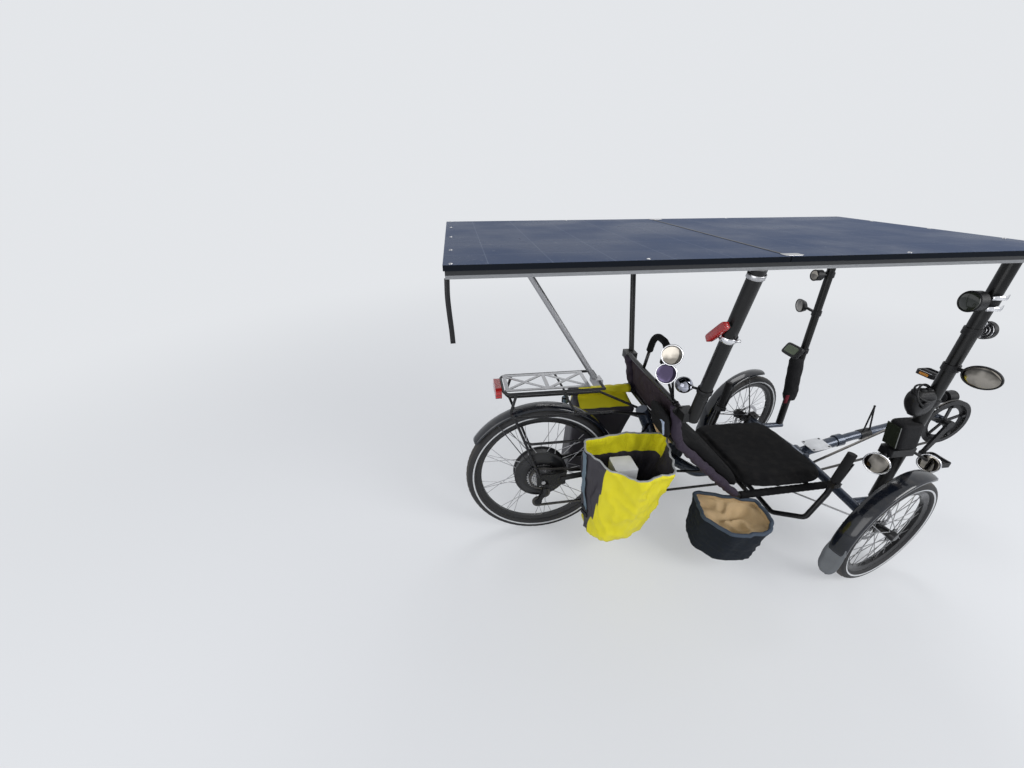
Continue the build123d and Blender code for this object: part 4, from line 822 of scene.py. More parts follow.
seat_back_pad = new_object("seat_back_pad", lambda bm: swept(bm, back_path(60, BACK_LIFT), back_section))
plump(seat_back_pad, 0.006, 0.003, pressure=2.5)
back_line = back_path(90, 0)
for vertex in seat_back_pad.data.vertices:
    co = vertex.co
    near = min(range(90), key=lambda k: (back_line[k].x - co.x) ** 2 + (back_line[k].z - co.z) ** 2)
    sewn = min(abs(near / 89 - line) for line in (0.2, 0.4, 0.6, 0.8))
    co.x -= 0.0018 * math.exp(-((sewn / 0.008) ** 2))
    crease = (1 - abs(noise.noise(co * 16))) ** 3 * (0.0075 if co.z > 0.62 else 0.0006)
    co += Vector((crease - 0.002, 0.0, crease * 0.3))
for face in seat_back_pad.data.polygons:
    face.material_index = 1 if face.center.z < 0.60 else 0
piece("seat_back_pad", seat_back_pad, [BACK_CLOTH, SEAT_MESH], ["seat_back"])


def back_sleeves(bm):
    """Cloth pockets round the side rails, crumpled where the rider leans."""
    rail = spread(bent([at(812, 0, 296), at(480, 0, 606), at(441, 0, 786)], BACK_BEND), 120)[4:-2]
    for side in (1, -1):
        line = [p + LEFT * (side * RAIL_HALF / 1000) for p in rail]
        first = len(bm.verts)
        swept(bm, line, round_section(0.0165, 22))
        bm.verts.ensure_lookup_table()
        for vertex in bm.verts[first:]:
            fold = (1 - abs(noise.noise(vertex.co * 24 + Vector((side * 3, 0, 0))))) ** 3
            middle = min(line, key=lambda p: (p - vertex.co).length_squared)
            vertex.co += (vertex.co - middle).normalized() * (0.0060 * fold - 0.0015)


def base_sleeves(bm):
    """The cushion's cover is laced round the base rails too."""
    for side in (1, -1):
        line = spread([at(826, side * RAIL_HALF, 296.4), at(1236, side * RAIL_HALF, 307.9)], 60)
        swept(bm, line, round_section(lambda share: 0.0155 + 0.0012 * math.sin(share * 55) ** 2, 18))


piece("back_sleeves", back_sleeves, [PLUM_PIPING])
piece("base_sleeves", base_sleeves, [SEAT_MESH])

# %% [markdown]
# The neck rest is a foam hoop on two thin stalks. Rings of stitching nip the foam every few
# centimetres, so its radius is made to vary along the sweep.

# %% Neck rest
NECK_HALF, NECK_TOP, NECK_FOOT, NECK_FOAM = 62, 940, 782, 864
STITCHES = 11


def neck_point(side, height):
    return at(442 + 26 / 158 * (height - NECK_FOOT), side * NECK_HALF, height)


def neck_radius(share):
    end = min(1.0, min(share, 1 - share) / 0.03 + 0.15) ** 0.4
    return 0.0138 * end - 0.0011 * max(0.0, math.cos(share * 2 * math.pi * STITCHES)) ** 12


def neck_rest(bm):
    hoop = [(1, NECK_FOAM - 4), (1, NECK_TOP), (-1, NECK_TOP), (-1, NECK_FOAM - 4)]
    swept(bm, spread(bent([neck_point(*spot) for spot in hoop], 0.052, 14), 90), round_section(neck_radius, 20))
    for side in (1, -1):
        stalk = [neck_point(side, NECK_FOOT + 7), neck_point(side, NECK_FOAM + 4)]
        swept(bm, stalk, round_section(0.007, 16), index=1)


neck_pad = piece("neck_pad", neck_rest, [SEAT_MESH, BAR_BLACK], ["neck_rest"])

# %% [markdown]
# The pocket on the seat's shoulder is a small zipped pouch with a pale reflective patch on its outer
# corner. It is a pillow form pressed flat against the rail.

# %% Seat pocket
POCKET_BASE = at(462.9 - 0.977 * 12.0, -163, 684.2 - 0.2116 * 12.0)
POCKET_UP, POCKET_OUT = Vector((-0.2116, 0, 0.9773)), Vector((-0.9773, 0, -0.2116))


def pocket_point(u, v, height):
    deep = (0.5 + 0.5 * height) ** 0.8 * 0.036
    return POCKET_BASE + Vector((0, u, 0)) / 1000 + POCKET_UP * v / 1000 + POCKET_OUT * (0.001 + deep)


pocket = new_object("seat_pouch", lambda bm: pillow(bm, 69, 58, pocket_point))
plump(pocket, 0.004, 0.003)
for vertex in pocket.data.vertices:
    out = (vertex.co - POCKET_BASE).dot(POCKET_OUT)
    up = (vertex.co - POCKET_BASE).dot(POCKET_UP)
    if out > 0.010:
        vertex.co -= POCKET_OUT * 0.003 * math.exp(-(((up - 0.022) / 0.003) ** 2))
        vertex.co += POCKET_OUT * 0.0016 * noise.noise(vertex.co * 30)
piece("seat_pouch", pocket, [POST_CLOTH], ["seat_pocket"])


def patch(bm):
    """Rounded patch that curves with the pouch."""
    middle = POCKET_BASE + POCKET_OUT * 0.0385 - LEFT * 0.038 - POCKET_UP * 0.006
    edge = [(signed_power(c, 0.4), signed_power(s, 0.4)) for c, s in around(32)]
    solid(bm, [[middle + POCKET_UP * (b * 0.036) + LEFT * (a * 0.019)
                + POCKET_OUT * (lift - 0.003 * a * a - 0.004 * b * b) for a, b in edge]
               for lift in (-0.006, 0.0008)])


piece("pouch_patch", patch, [REFLECTIVE], smooth=False)

# %% [markdown]
# A bag is a lofted shell that sags. Its floor and rim outlines come from the solid bag, the sides are
# blended between them and pushed out by what is inside, and folds are noise that grows to the rim.

# %% Bag shells
RACK_SIDE = 97.8


def outline(points, cut, count):
    """Evenly spread points round a polygon with softened corners."""
    flat = [Vector((x, y, 0)) for x, y in points]
    seam = [(flat[-1] + flat[0]) / 2]
    return spread(bent(seam + flat + seam, cut, 6), count + 1)[:-1]


def out_from_rack(points, side):
    return [(x, side * (RACK_SIDE + y)) for x, y in points]


def bag_ring(floor, rim, base_z, rim_z, bulge, fold, seed, rim_shape=None):
    """Gives ring(share, inset): the bag's outline at a share of its height, moved in by inset."""
    centre = sum(rim, Vector()) / len(rim)

    def ring(share, inset):
        made = []
        for low, high in zip(floor, rim):
            spot = low.lerp(high, share)
            out = (spot - centre).normalized()
            push = bulge * math.sin(math.pi * share ** 0.8) - inset
            push += fold * share * noise.noise(Vector((spot.x / 46, spot.y / 46, share * 2.2 + seed)))
            push += fold * 0.5 * noise.noise(Vector((spot.x / 19, spot.y / 19, share * 5 + seed)))
            ridge = noise.noise(Vector((spot.x / 60 + share * 2.5, spot.y / 60, share * 4.5 + seed)))
            push += fold * 0.9 * (1 - abs(ridge)) ** 4
            z = base_z + (rim_z - base_z) * share
            if rim_shape:
                z += rim_shape(spot, out) * share ** 3
            spot = spot + out * push
            made.append(at(spot.x, spot.y, z))
        return made

    return ring


def shell(bm, ring, wall, rows=30):
    """Open bag: outside up, over the rim, inside down. Finishes: 0 outside, 1 lining."""
    outer = [ring(0.0, 26), ring(0.0, 8)] + [ring(k / rows, 0) for k in range(1, rows + 1)]
    inner = [ring(k / rows, wall) for k in range(rows, 0, -1)] + [ring(0.02, wall + 4)]
    top = skin(bm, outer, cap_first=True)[-1]
    under = skin(bm, inner, cap_last=True, index=1)[0]
    for k in range(len(top)):
        n = (k + 1) % len(top)
        bm.faces.new((top[k], top[n], under[n], under[k])).material_index = 1
    bmesh.ops.remove_doubles(bm, verts=bm.verts, dist=1e-6)


def rim_cord(bm, loop, section, index=0):
    """Binding swept once round a bag's mouth."""
    swept(bm, loop + [loop[0]], section, side=UP, caps=False, index=index)


print("the panniers stand", RACK_SIDE, "mm from the middle")

# %% [markdown]
# The right pannier is a roll-top bag left open: yellow coated cloth with grey panels at the back, a
# grey tape round the mouth, a pale strap with a buckle at the rear edge, and a grey lining.

# %% Right pannier
OPEN_COUNT = 140
OPEN_FLOOR = outline(out_from_rack([(178, 12), (402, 12), (396, 128), (300, 173), (208, 173), (175, 119)], -1),
                     20, OPEN_COUNT)
OPEN_RIM = outline(out_from_rack([(160, 8), (498, 8), (445, 213), (318, 253), (207, 164), (143, 72)], -1),
                   20, OPEN_COUNT)


def mouth(spot, out):
    return 26 * out.y + 10 * math.sin(spot.x / 46) * max(0.0, -out.y)


open_ring = bag_ring(OPEN_FLOOR, OPEN_RIM, 150, 552, 7, 12, 3.1, mouth)
open_pannier = new_object("pannier_open", lambda bm: shell(bm, open_ring, 4))
for face in open_pannier.data.polygons:
    place = face.center * 1000
    if face.material_index == 1 and place.z > 478 and -place.y - RACK_SIDE < 60:
        face.material_index = 2
piece("pannier_open", open_pannier, [TWO_TONE, GREY_CLOTH, YELLOW_CLOTH], ["pannier_right"])


def pannier_tape(bm):
    rim_cord(bm, open_ring(1.0, 2.0), lambda share: [(0.0021 * c, 0.0042 * s) for c, s in around(10)])


def pannier_strap(bm):
    """Flat webbing down the bag's rear corner, with a two-part buckle."""
    corner = Vector((150, -(RACK_SIDE + 84), 0))
    k = min(range(OPEN_COUNT), key=lambda n: (OPEN_RIM[n] - corner).length)

    def along_rim(share):
        ring = open_ring(share, 0)
        return (ring[(k + 3) % OPEN_COUNT] - ring[k]).normalized()

    line = [open_ring(0.99 + (0.30 - 0.99) * n / 20, -3.0)[k] for n in range(21)]
    swept(bm, line, flat_section(0.030, 0.0022), side=along_rim(0.5))
    side = along_rim(0.3)
    up = (open_ring(0.35, 0)[k] - open_ring(0.25, 0)[k]).normalized()
    out, centre = side.cross(up), open_ring(0.26, -4.0)[k]
    for half in (1, -1):
        plate(bm, lambda a, b, lift: centre + side * (a * 0.020) + up * (b * 0.0088 + half * 0.0132) + out * lift,
              (-0.002, 0.006), index=1)


piece("pannier_tape", pannier_tape, [EDGE_TAPE])
piece("pannier_strap", pannier_strap, [STRAP_WEB, BLACK_PLASTIC], smooth=False)

# %% [markdown]
# The left pannier is the same bag rolled shut: full and taut below, pinched to a ridge, and the ridge
# rolled over. Two straps with buckles pull the roll down, and stiff ends keep it round.

# %% Left pannier
CLOSED_FLOOR = outline(out_from_rack([(163, 13), (347, 13), (342, 157), (163, 167)], 1), 22, 120)
CLOSED_RIM = outline(out_from_rack([(169, 9), (459, 9), (449, 163), (207, 199)], 1), 22, 120)
CLOSED_RIDGE = outline([(184, 182), (436, 182), (436, 202), (184, 202)], 8, 120)
SHOULDER = 0.86
ROLL_Y, ROLL_Z = 192, 621


def closed_bag(bm):
    rings = []
    for k in range(34):
        share = k / 33
        ring = []
        for low, high, ridge in zip(CLOSED_FLOOR, CLOSED_RIM, CLOSED_RIDGE):
            if share < SHOULDER:
                spot, z = low.lerp(high, share / SHOULDER), 214 + 342 * share / SHOULDER
            else:
                over = (share - SHOULDER) / 0.14
                spot, z = high.lerp(ridge, over), 556 + 50 * over
            out = (spot - Vector((310, ROLL_Y, 0))).normalized()
            push = 5 * share * noise.noise(Vector((spot.x / 40, spot.y / 40, share * 3)))
            spot = spot + out * (5 * math.sin(math.pi * share) + push)
            ring.append(at(spot.x, spot.y, z))
        rings.append(ring)
    solid(bm, rings)
    roll = [at(168 + 284 * n / 24, ROLL_Y + 2 * math.sin(n), ROLL_Z + 1.5 * math.sin(n * 1.7)) for n in range(25)]
    swept(bm, roll, round_section(lambda share: 0.0205 + 0.0008 * math.sin(share * 30), 18))


def closed_trim(bm):
    for x, shoulder, end, clip in ((176, (176, 288), (174, 284), (176, 291)),
                                   (444, (438, 268), (402, 266), (432, 271))):
        strap = [at(x, 211, 636), at(x, 216, 606), at(*shoulder, 545), at(*end, 450)]
        swept(bm, spread(bent(strap, 0.016), 30), flat_section(0.024, 0.0022), side=REAR)
        slab(bm, at(*clip, 520), LEFT, REAR, 0.017, 0.019, 0.005, index=1)
    for near, far in ((167, 162), (453, 458)):
        swept(bm, [at(near, ROLL_Y, ROLL_Z), at(far, ROLL_Y, ROLL_Z)], round_section(0.0212, 20), index=1)


piece("pannier_closed", closed_bag, [TWO_TONE_LEFT], ["pannier_left"])
piece("pannier_closed_trim", closed_trim, [STRAP_WEB, BLACK_PLASTIC])

# %% [markdown]
# The side bags hang under the seat's rails: slate cloth tubs with a thick piped rim and a tan lining
# that has slumped inside. The lining is its own dished sheet of faces a little below the rim.

# %% Side bags
TUB_RIM = [(655, 160), (898, 250), (884, 372), (818, 420), (688, 416), (620, 312)]
TUB_FLOOR = [(636, 186), (846, 262), (832, 374), (788, 398), (672, 388), (606, 302)]
DISH_ROWS = 15


def side_bag(bm, side):
    floor, rim = (outline([(x, side * y) for x, y in points], 26, 110) for points in (TUB_FLOOR, TUB_RIM))
    ring = bag_ring(floor, rim, 106, 278, 2, 6, 9.3 * side)
    shell(bm, ring, 6, rows=22)
    rim_cord(bm, ring(1.0, 3.0), round_section(0.0078, 12), index=2)
    edge = ring(0.9, 7.0)
    middle = sum(edge, Vector()) / len(edge)
    rows = []
    for n in range(DISH_ROWS):
        share = 1 - n / DISH_ROWS
        row = []
        for spot in edge:
            flat = middle.lerp(spot, share)
            crease = (1 - abs(noise.noise(flat * 17 + Vector((0, 0, side))))) ** 3
            sag = 0.020 * (crease - 0.4) * min(1, (1 - share) * 6) - 0.034 * (1 - share ** 2)
            row.append(Vector((flat.x, flat.y, spot.z + sag)))
        rows.append(row)
    skin(bm, rows, cap_last=True, index=1)


for side, word in ((1, "left"), (-1, "right")):
    piece(f"side_bag_{word}_tub", lambda bm: side_bag(bm, side), [BAG_CLOTH, TAN_LINING, BAG_PIPING],
          [f"side_bag_{word}"])

# %% [markdown]
# Both front posts wear something soft: on the left a long fabric wrap with a red tag hangs from the
# display, on the right a padded case holds a device with a dark glossy face.

# %% Post covers
POST_X, POST_Y, POST_FOOT, POST_SPLAY = 1414, 294, 280, 0.0235


def wrap_left(bm):
    def spot(share, c, s):
        z = 432 + 242 * share
        pinch = 0.80 + 0.20 * min(1.0, share / 0.10)
        pinch *= 0.82 + 0.18 * min(1.0, (1 - share) / 0.08)
        r = pinch * (1 + 0.10 * noise.noise(Vector((c * 1.4, s * 1.4, share * 6))))
        return at(POST_X + 10 - 32 * share + 38 * c * r, POST_Y + POST_SPLAY * (z - POST_FOOT) + 27 * s * r, z)

    stacked(bm, 40, 48, spot)
    plate(bm, lambda a, b, lift: at(1384 + a * 9, 272 + lift, 446 + b * 24), (-3, 2), index=1)


def case_right(bm):
    def spot(share, c, s):
        z = 562 + 114 * share
        r = squareness(c, s, 5) * min(1.0, 0.90 + 0.10 * min(share, 1 - share) / 0.06)
        return at(POST_X - 22 - 24 * share + 47 * c * r, -POST_Y - POST_SPLAY * (z - POST_FOOT) + 33 * s * r, z)

    stacked(bm, 24, 56, spot)


def device_face(bm):
    """Dark glass face of the device, leaning with the case's rear wall."""
    plate(bm, lambda a, b, lift: at(1325 - 9.6 * b + lift, -302 + a * 27, 619 + b * 48), (3, -1.5))


piece("post_wrap_left", wrap_left, [POST_CLOTH, RED_TAG], ["post_covers"])
piece("post_case_right", case_right, [POST_CLOTH], ["post_covers"])
piece("device_face", device_face, [DARK_GLASS], smooth=False)

# %% [markdown]
# Fenders are pressed shells with a rounded crown and rolled skirts. Sweeping a smooth section round the
# wheel gives the long unbroken highlight that a few flat strips can't. The front ones turn with the
# steering, so they are drawn straight ahead and then turned about the leaning king pin.

# %% Fenders
STEERED, KING_LEAN = math.radians(13.0), math.radians(12.0)
FRONT_AXLE, FRONT_RADIUS, PIN_Y, HUB_Y = 1308, 250, 365, 445
REAR_RADIUS = 330


def steered(side):
    """The turn of one front wheel about its king pin, from straight ahead to how it stands."""
    pin = at(FRONT_AXLE, side * PIN_Y, FRONT_RADIUS)
    line = Vector((0, -side * math.sin(KING_LEAN), math.cos(KING_LEAN)))
    spin = Vector(joints["wheel_left_spin" if side > 0 else "wheel_right_spin"]["axis"])
    best = max((STEERED, -STEERED), key=lambda turn: abs((Matrix.Rotation(turn, 3, line) @ LEFT).dot(spin)))
    return Matrix.Translation(pin) @ Matrix.Rotation(best, 4, line) @ Matrix.Translation(-pin)


def fender_shell(bm, hub, inner, width, start, end, steps=56):
    half, rings = width / 2, []
    top = [(-half, -8), (-half * 0.94, -1), (-half * 0.78, 2.6), (-half * 0.5, 5.2), (-half * 0.22, 6.6), (0, 7)]
    top += [(-a, b) for a, b in top[-2::-1]]
    profile = top + [(a * (1 - 2.2 / half), b - 2.2) for a, b in reversed(top)]
    for k in range(steps + 1):
        angle = math.radians(start + (end - start) * k / steps)
        narrow = 1.0 - 0.10 * max(0.0, 1 - k / 5) ** 2
        rings.append([hub + Vector((math.cos(angle) * (inner + b), a * narrow, math.sin(angle) * (inner + b))) / 1000
                      for a, b in profile])
    solid(bm, rings)


def rod(bm, start, end, radius):
    swept(bm, [start, end], round_section(radius, 10))


def mud_leaf(bm, hub):
    """Soft leaf below the fender: straight at its top, rounded below, curled a little outwards."""
    across = (-1, -0.5, 0, 0.5, 1)
    rows = []
    for k in range(17):
        drop = k / 16
        wide = 29 + 7 * math.sin(math.pi * drop ** 0.8)
        if k > 10:
            wide = 35 * math.sqrt(max(0.02, 1 - ((drop - 0.62) / 0.40) ** 2))
        rows.append([hub + Vector((-283 - 8 * drop ** 2 + 3 * noise.noise(Vector((drop * 4, a, 0))) + thick,
                                   a * wide, 14 - 142 * drop)) / 1000
                     for thick, line in ((0, across), (2, across[::-1])) for a in line])
    solid(bm, rows, index=1)


def front_fender(bm, side):
    hub = at(FRONT_AXLE, side * HUB_Y, FRONT_RADIUS)
    pin = at(FRONT_AXLE, side * PIN_Y, FRONT_RADIUS)
    fender_shell(bm, hub, 281, 66, 76, 184)
    mud_leaf(bm, hub)
    for angle, foot in ((math.radians(100), -4), (math.radians(160), -13)):
        tip = hub + Vector((275 * math.cos(angle), -side * 31, 275 * math.sin(angle))) / 1000
        rod(bm, pin + Vector((foot, side * 22, 34)) / 1000, tip, 0.003)
    bmesh.ops.transform(bm, matrix=steered(side), verts=bm.verts)


def rear_fender(bm):
    fender_shell(bm, at(0, 0, REAR_RADIUS), 344, 64, 8, 146, 80)
    swept(bm, [at(344, 0, 387.5), at(452, 0, 387.5)], flat_section(0.018, 0.003))
    angle = math.radians(124)
    for side in (1, -1):
        tip = at(339 * math.cos(angle), side * 30.5, REAR_RADIUS + 339 * math.sin(angle))
        rod(bm, at(-18, side * 67, 358), tip, 0.002)


for side, word in ((1, "left"), (-1, "right")):
    piece(f"fender_{word}_shell", lambda bm: front_fender(bm, side), [GLOSS_BLACK, LEAF],
          [f"fender_front_{word}"], body=f"knuckle_{word}")
piece("rear_fender_shell", rear_fender, [GLOSS_BLACK], ["rear_fender"])

# %% [markdown]
# Tyres carry a shallow chevron tread. The tyre is a lathe shape whose outer skin is sunk by a
# millimetre and a half wherever a groove runs, so the blocks stand at the true outer radius.

# %% Tyres with tread
GROOVE = 0.0016


def tyre_mesh(bm, wheel):
    centre, axis = wheel_line(wheel)
    outer, bead = WHEELS[wheel][1:3]
    half, turns = (0.025, 330) if wheel == "rear" else (0.023, 250)
    blocks = turns // 5
    first = axis.cross(UP).normalized()
    second = axis.cross(first)
    rings = []
    for k, (c, s) in enumerate(around(turns)):
        out = first * c + second * s
        ring = []
        for j in range(31):
            phi = math.radians(-152 + 304 * j / 30)
            wave = (k / turns * blocks + abs(phi) * 0.9) % 1.0
            groove = wave < 0.30 or abs(abs(phi) - 0.42) < 0.09
            lug = -GROOVE if groove and abs(phi) < math.radians(66) else 0.0
            ring.append(centre + axis * (half * math.sin(phi)) + out * (outer - half + (half + lug) * math.cos(phi)))
        for sign in (1, -1):
            ring.append(centre + axis * (sign * half * 0.42) + out * (bead + 0.001))
        rings.append([bm.verts.new(point) for point in ring])
    for low, high in zip(rings, rings[1:] + rings[:1]):
        for j in range(len(low)):
            n = (j + 1) % len(low)
            bm.faces.new((low[j], low[n], high[n], high[j]))


for wheel in WHEELS:
    piece(f"tyre_{wheel}_tread", lambda bm: tyre_mesh(bm, wheel), [TYRE_FINISH[wheel]],
          [f"tyre_{wheel}"], body=WHEELS[wheel][3])

# %% [markdown]
# The small fittings are where a stand-in gives itself away: mirror glass needs a rim, a lamp needs a lens
# that bulges, a clamp needs to go round its post. A domed disc, a hoop and a collar make most of them.

# %% Discs, hoops and collars
def circle(centre, right, up, rx, ry, sides):
    return [centre + right * (rx * c) + up * (ry * s) for c, s in around(sides)]


def squared_up(normal, right):
    """Unit normal and two directions across it, the first of them near right."""
    normal = normal.normalized()
    right = (right - normal * right.dot(normal)).normalized()
    return normal, right, normal.cross(right)


def disc(bm, centre, normal, right, rx, ry, dome, thick, index=0):
    """Domed face with a flat back."""
    normal, right, up = squared_up(normal, right)
    steps = [(0.03, -thick), (1.0, -thick)]
    steps += [(math.cos(math.radians(a)), dome * math.sin(math.radians(a))) for a in (0, 15, 32, 50, 68, 86)]
    solid(bm, [circle(centre + normal * lift, right, up, rx * share, ry * share, 40) for share, lift in steps], index)


def hoop(bm, centre, normal, right, rx, ry, tube, index=0):
    normal, right, up = squared_up(normal, right)
    loop = circle(centre, right, up, rx, ry, 48)
    swept(bm, loop + [loop[0]], round_section(tube, 10), side=normal, caps=False, index=index)


def glazed(bm, centre, normal, right, rx, ry, glass, rim, dome=0.003):
    """Glass in a rim: each is (index, what it is set in by, and for the rim its tube)."""
    disc(bm, centre, normal, right, rx - glass[1], ry - glass[1], dome, 0.001, index=glass[0])
    hoop(bm, centre, normal, right, rx - rim[1], ry - rim[1], rim[2], index=rim[0])


def collar(bm, low, high, inner, outer, index=0):
    """Band clamp round a post."""
    axis = (high - low).normalized()
    first = axis.cross(LEFT).normalized()
    edge = axis * 0.001
    steps = ((low, inner), (low, outer - 0.001), (low + edge, outer), (high - edge, outer),
             (high, outer - 0.001), (high, inner), (low, inner))
    skin(bm, [circle(point, first, axis.cross(first), r, r, 32) for point, r in steps], index=index)


def on_front_post(side, height):
    share = (height - POST_FOOT) / 1022
    return at(POST_X + 2 * share, side * (POST_Y + 24 * share), height)


def on_middle_post(side, height):
    share = (height - 745) / 557
    return at(482 - 10 * share, side * (282 + 138 * share), height)


print("front post's top:", tuple(round(value, 3) for value in on_front_post(1, 1302)))

# %% [markdown]
# Mirrors: a bright glass set a little into a rim. The oval ones stand outboard of the front posts, two
# round ones hang on a block lower down, and two more sit at the rider's right shoulder beside a chromed
# ball.

# %% Mirrors
BALL_RADIUS = 0.029


def mirror_faces(bm):
    for side, half_w, half_h, turn in ((1, 0.054, 0.031, -24), (-1, 0.052, 0.039, 18)):
        turn = math.radians(turn)
        ahead = Vector((math.cos(turn), math.sin(turn), 0))
        right = Vector((-math.sin(turn), math.cos(turn), 0))
        centre = on_front_post(side, 909) + Vector((-0.006, side * 0.100, 0.008)) - ahead * 0.0062
        glazed(bm, centre, -ahead, right, half_w, half_h, (0, 0.004), (1, 0.002, 0.0024), dome=0.002)
    normal = Vector((-1, -0.45, 0.1)).normalized()
    for reach, drop, r in ((-132, 34, 0.043), (117, 59, 0.037)):
        centre = on_front_post(-1, 540) + Vector((reach, -31, -drop)) / 1000 + normal * 0.0016
        glazed(bm, centre, normal, LEFT, r, r, (0, 0.003), (2, 0.0015, 0.0030))


def shoulder_mirrors(bm):
    foot = at(438, -211, 786)
    normal = Vector((-0.52, -0.78, 0.35)).normalized()
    for head, glass in ((at(393, -221, 973), 1), (at(385, -221, 903), 2)):
        disc(bm, head - normal * 0.002, -normal, LEFT, 0.034, 0.034, 0.010, 0.002)
        disc(bm, head + normal * 0.001, normal, LEFT, 0.033, 0.033, 0.002, 0.002, index=glass)
        hoop(bm, head, normal, LEFT, 0.0345, 0.0345, 0.0026, index=3)
        swept(bm, [head - normal * 0.010, foot.lerp(head, 0.6) - normal * 0.006, foot], round_section(0.0045, 12))
    collar(bm, on_middle_post(-1, 872), on_middle_post(-1, 888), 0.0212, 0.025)
    post = on_middle_post(-1, 880)
    ball = post + Vector((-0.044, 0.056, -0.004))
    away = (ball - post).normalized()
    swept(bm, [post + away * 0.024, ball - away * 0.026], round_section(0.0045, 12))
    side, up = away.cross(UP).normalized(), away.cross(away.cross(UP)).normalized()

    def spot(share, c, s):
        a = math.pi * (24 * share + 0.5) / 25
        r = BALL_RADIUS * math.sin(a) * (1 - 0.012 * math.exp(-((a - math.pi / 2) / 0.03) ** 2))
        return ball - away * (BALL_RADIUS * math.cos(a)) + side * (r * c) + up * (r * s)

    stacked(bm, 25, 40, spot, index=4)
    collar(bm, ball - away * 0.0305, ball - away * 0.0265, 0.004, 0.010, index=3)


piece("mirror_faces", mirror_faces, [MIRROR, BLACK_PLASTIC, CHROME])
piece("shoulder_mirrors", shoulder_mirrors, [BLACK_PLASTIC, MIRROR, DUSK_REFLECTION_MIRROR, CHROME, BALL_CHROME_PAINTED_REFLECTION],
      ["seat_mirrors"])

# %% [markdown]
# Lamps show their lens or reflector to the rear on the posts and to the front on the boom. The red bar on
# the right middle post is held by a bright band clamp.

# %% Lamps and horn
def lamp_faces(bm):
    for side, height, r, finish in ((1, 1094, 0.025, 0), (-1, 1153, 0.034, 1)):
        centre = on_front_post(side, height) + REAR * 0.0774
        glazed(bm, centre, REAR, LEFT, r, r, (finish, 0.003), (2, 0.0015, 0.0026), dome=0.004)
    lamp = on_front_post(-1, 1153)
    for shift in (-0.018, 0.018):
        strap = [lamp + Vector((x, y, shift)) for x, y in ((-0.040, -0.030), (0.004, -0.036), (0.034, -0.020))]
        swept(bm, strap, flat_section(0.014, 0.003), side=UP, index=3)
    horn_face = on_front_post(-1, 1047) - REAR * 0.0456
    for r, lift in ((0.0285, 0.0), (0.019, 0.0012), (0.011, 0.0024)):
        disc(bm, horn_face + REAR * lift, REAR, LEFT, r, r, 0.0016, 0.0008, index=3)
    glazed(bm, at(1993.2, 0, 574), -REAR, LEFT, 0.0275, 0.0275, (4, 0.001), (2, 0.0, 0.0024), dome=0.006)


def red_bar(bm):
    low, high = at(438, -330, 1074), at(438, -394, 1140)
    along, middle = (high - low).normalized(), (low + high) / 2
    slab(bm, middle, REAR, along, 0.050, 0.0125, 0.009, power=7)
    slab(bm, middle - REAR * 0.010, REAR, along, 0.046, 0.010, 0.004, index=1)
    collar(bm, on_middle_post(-1, 1080), on_middle_post(-1, 1098), 0.0212, 0.0255, index=2)
    post = on_middle_post(-1, 1089)
    swept(bm, [middle - REAR * 0.008, post + Vector((-0.022, 0.006, 0))], round_section(0.006, 12), index=2)
    bolt = [post + Vector((0.006, -0.026, 0)), post + Vector((0.010, -0.040, 0.004))]
    swept(bm, bolt, round_section(0.0045, 10), index=2)


piece("lamp_faces", lamp_faces, [MIRROR, DARK_GLASS, BLACK_PLASTIC, CHROME, CLEAR_LENS])
piece("red_bar", red_bar, [RED_LENS, BLACK_PLASTIC, CHROME], ["post_reflector"])

# %% [markdown]
# Controls: on the left post a handheld display with a greenish panel, tilted to the rider; on the right
# post a rounded pod of switches with two loops of its own cable tied to it.

# %% Display and switch pod
DISPLAY_TILT = math.radians(32)


def pod_point(share, c, s):
    swell = math.sin(math.pi * min(max(share, 0.04), 0.96)) ** 0.22
    r = squareness(c, s, 3) * swell * (1 + 0.05 * noise.noise(Vector((c * 2, s * 2, share * 3))))
    centre = on_front_post(-1, 711 + 104 * share) + Vector((-0.040 - 0.016 * share, 0, 0))
    return centre + Vector(((0.039 + 0.018 * share) * c * r, (0.025 + 0.008 * share) * s * r, 0))


def display_and_pod(bm):
    post = on_front_post(1, 712)
    out = Vector((-math.cos(DISPLAY_TILT), 0, math.sin(DISPLAY_TILT)))
    centre = post + Vector((-0.070, -0.008, 0.006))
    slab(bm, centre, out, LEFT, 0.050, 0.031, 0.011)
    slab(bm, centre + out * 0.0112, out, LEFT, 0.036, 0.019, 0.0012, power=9, index=1)
    for n in (-1, 0, 1):
        button = centre + out * 0.0114 + LEFT * (0.022 * n) - out.cross(LEFT) * 0.025
        disc(bm, button, out, LEFT, 0.006, 0.003, 0.001, 0.001)
    collar(bm, on_front_post(1, 700), on_front_post(1, 724), 0.0172, 0.021)
    swept(bm, [centre - out * 0.008, post + REAR * 0.016], round_section(0.007, 14))
    stacked(bm, 22, 44, pod_point)
    collar(bm, on_front_post(-1, 754), on_front_post(-1, 778), 0.0218, 0.026)
    pod = on_front_post(-1, 790) + REAR * 0.058
    hoop(bm, pod + Vector((0, -0.012, 0.012)), Vector((0.3, -0.9, 0.5)), REAR, 0.052, 0.040, 0.0035)
    hoop(bm, pod + Vector((0.004, -0.006, 0.018)), Vector((0.1, -0.6, 0.8)), REAR, 0.046, 0.034, 0.0035)
    for shift in (-0.030, 0.0, 0.028):
        disc(bm, pod + Vector((shift, 0.002, 0.026)), UP, LEFT, 0.013, 0.013, 0.007, 0.010)
    disc(bm, on_front_post(-1, 772) + Vector((-0.066, -0.036, 0)), -LEFT, REAR, 0.015, 0.015, 0.005, 0.008)


piece("display_and_pod", display_and_pod, [BLACK_PLASTIC, LCD], ["display"])

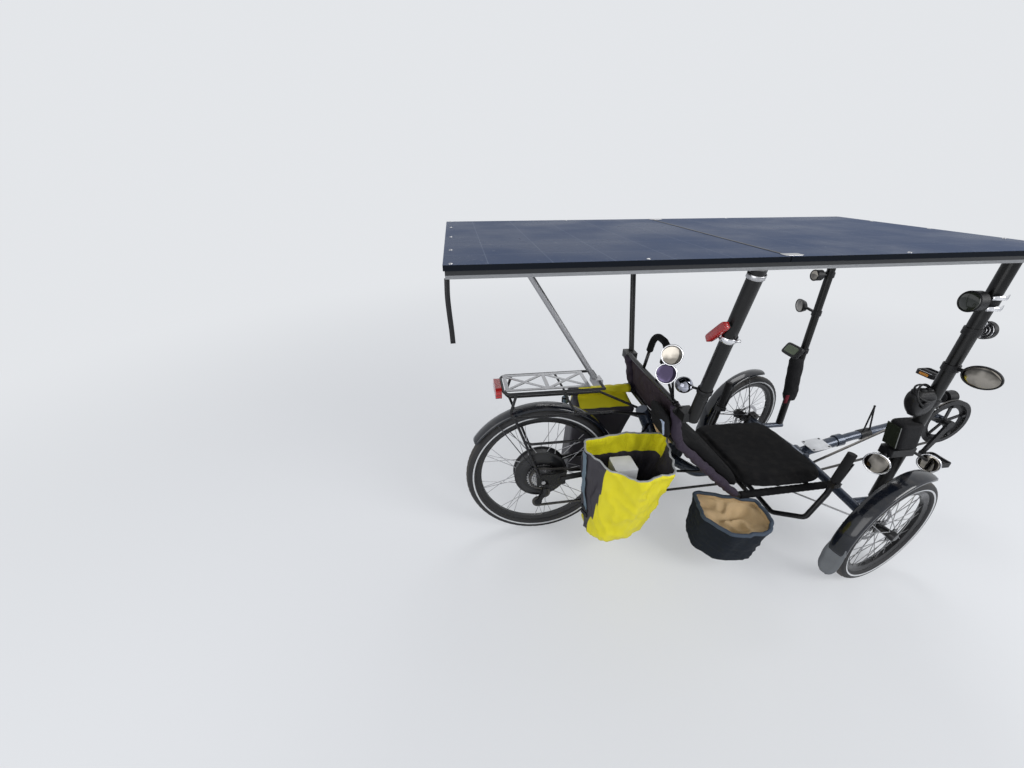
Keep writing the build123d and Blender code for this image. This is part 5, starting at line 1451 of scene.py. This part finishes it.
# %% [markdown]
# The last pieces are trim: a bare white plate with four bolts on the main tube, amber reflectors in the
# pedals, bolt heads and a joint plate on the roof, clamps on the posts, and a strap end at the rear corner.

# %% Trim
ROOF_TOP = 1336.2


def tube_plate(bm):
    corners = [at(1296, 22, 358), at(1388, 22, 372), at(1388, -60, 372), at(1296, -60, 358)]
    across, ahead = (corners[3] - corners[0]).normalized(), (corners[1] - corners[0]).normalized()
    middle = sum(corners, Vector()) / 4
    up = ahead.cross(-across).normalized()
    slab(bm, middle, up, ahead, 0.047, 0.041, 0.0016, power=14)
    for a, b in CORNERS:
        bolt = middle + ahead * (0.038 * a) + across * (0.032 * b) + up * 0.0018
        disc(bm, bolt, up, ahead, 0.0048, 0.0048, 0.002, 0.001, index=1)
    for shift in (-0.026, 0.026):
        foot = middle + ahead * shift + LEFT * 0.019
        swept(bm, [foot - up * 0.002, foot - up * 0.016], flat_section(0.030, 0.012), side=LEFT, index=1)


def pedal_trim(bm, middle):
    """Reflectors front and back, and a thin steel edge above and below each."""
    for end in (1, -1):
        slab(bm, middle + REAR * (0.0402 * end), REAR * end, LEFT, 0.022, 0.0065, 0.0025)
        for edge in (1, -1):
            line = [middle + LEFT * (0.030 * k) + REAR * (0.036 * end) + UP * (0.0112 * edge) for k in (-1, 0, 1)]
            swept(bm, line, flat_section(0.004, 0.0012), side=REAR, index=1)


def roof_trim(bm):
    bolts = [(x, side * 424) for side in (1, -1) for x in (-330, 160, 900, 1452)]
    bolts += [(x, y) for x in (-330, 1452) for y in (-240, 0, 240)]
    for x, y in bolts:
        disc(bm, at(x, y, ROOF_TOP), UP, LEFT, 0.0055, 0.0055, 0.0025, 0.001)
    slab(bm, at(543, 0, ROOF_TOP + 0.2), UP, LEFT, 0.420, 0.004, 0.0008, power=30, index=1)
    for side, inner in ((1, 0.0125), (-1, 0.0214)):
        slab(bm, at(560, side * 414, ROOF_TOP + 0.4), UP, REAR, 0.026, 0.014, 0.0012, power=9)
        collar(bm, on_middle_post(side, 1278), on_middle_post(side, 1292), inner, inner + 0.003, index=2)
    strap = [(-341, -425, 1303), (-343, -428, 1260), (-341, -427, 1215), (-338, -425, 1170), (-337, -424, 1135)]
    swept(bm, spread(bent([at(*p) for p in strap], 0.02), 24), flat_section(0.013, 0.0016), side=REAR, index=1)


piece("tube_plate", tube_plate, [WHITE_PLASTIC, BLACK_PLASTIC])
for body, spindle in (("pedal_left", at(2008.7, 136.5, 625.6)), ("pedal_right", at(1881.3, -136.5, 310.4))):
    piece(f"{body}_trim", lambda bm: pedal_trim(bm, spindle), [AMBER_LENS, STEEL], body=body,
          smooth=False)
piece("roof_trim", roof_trim, [ALLOY, BLACK_PLASTIC, STEEL])

# %% [markdown]
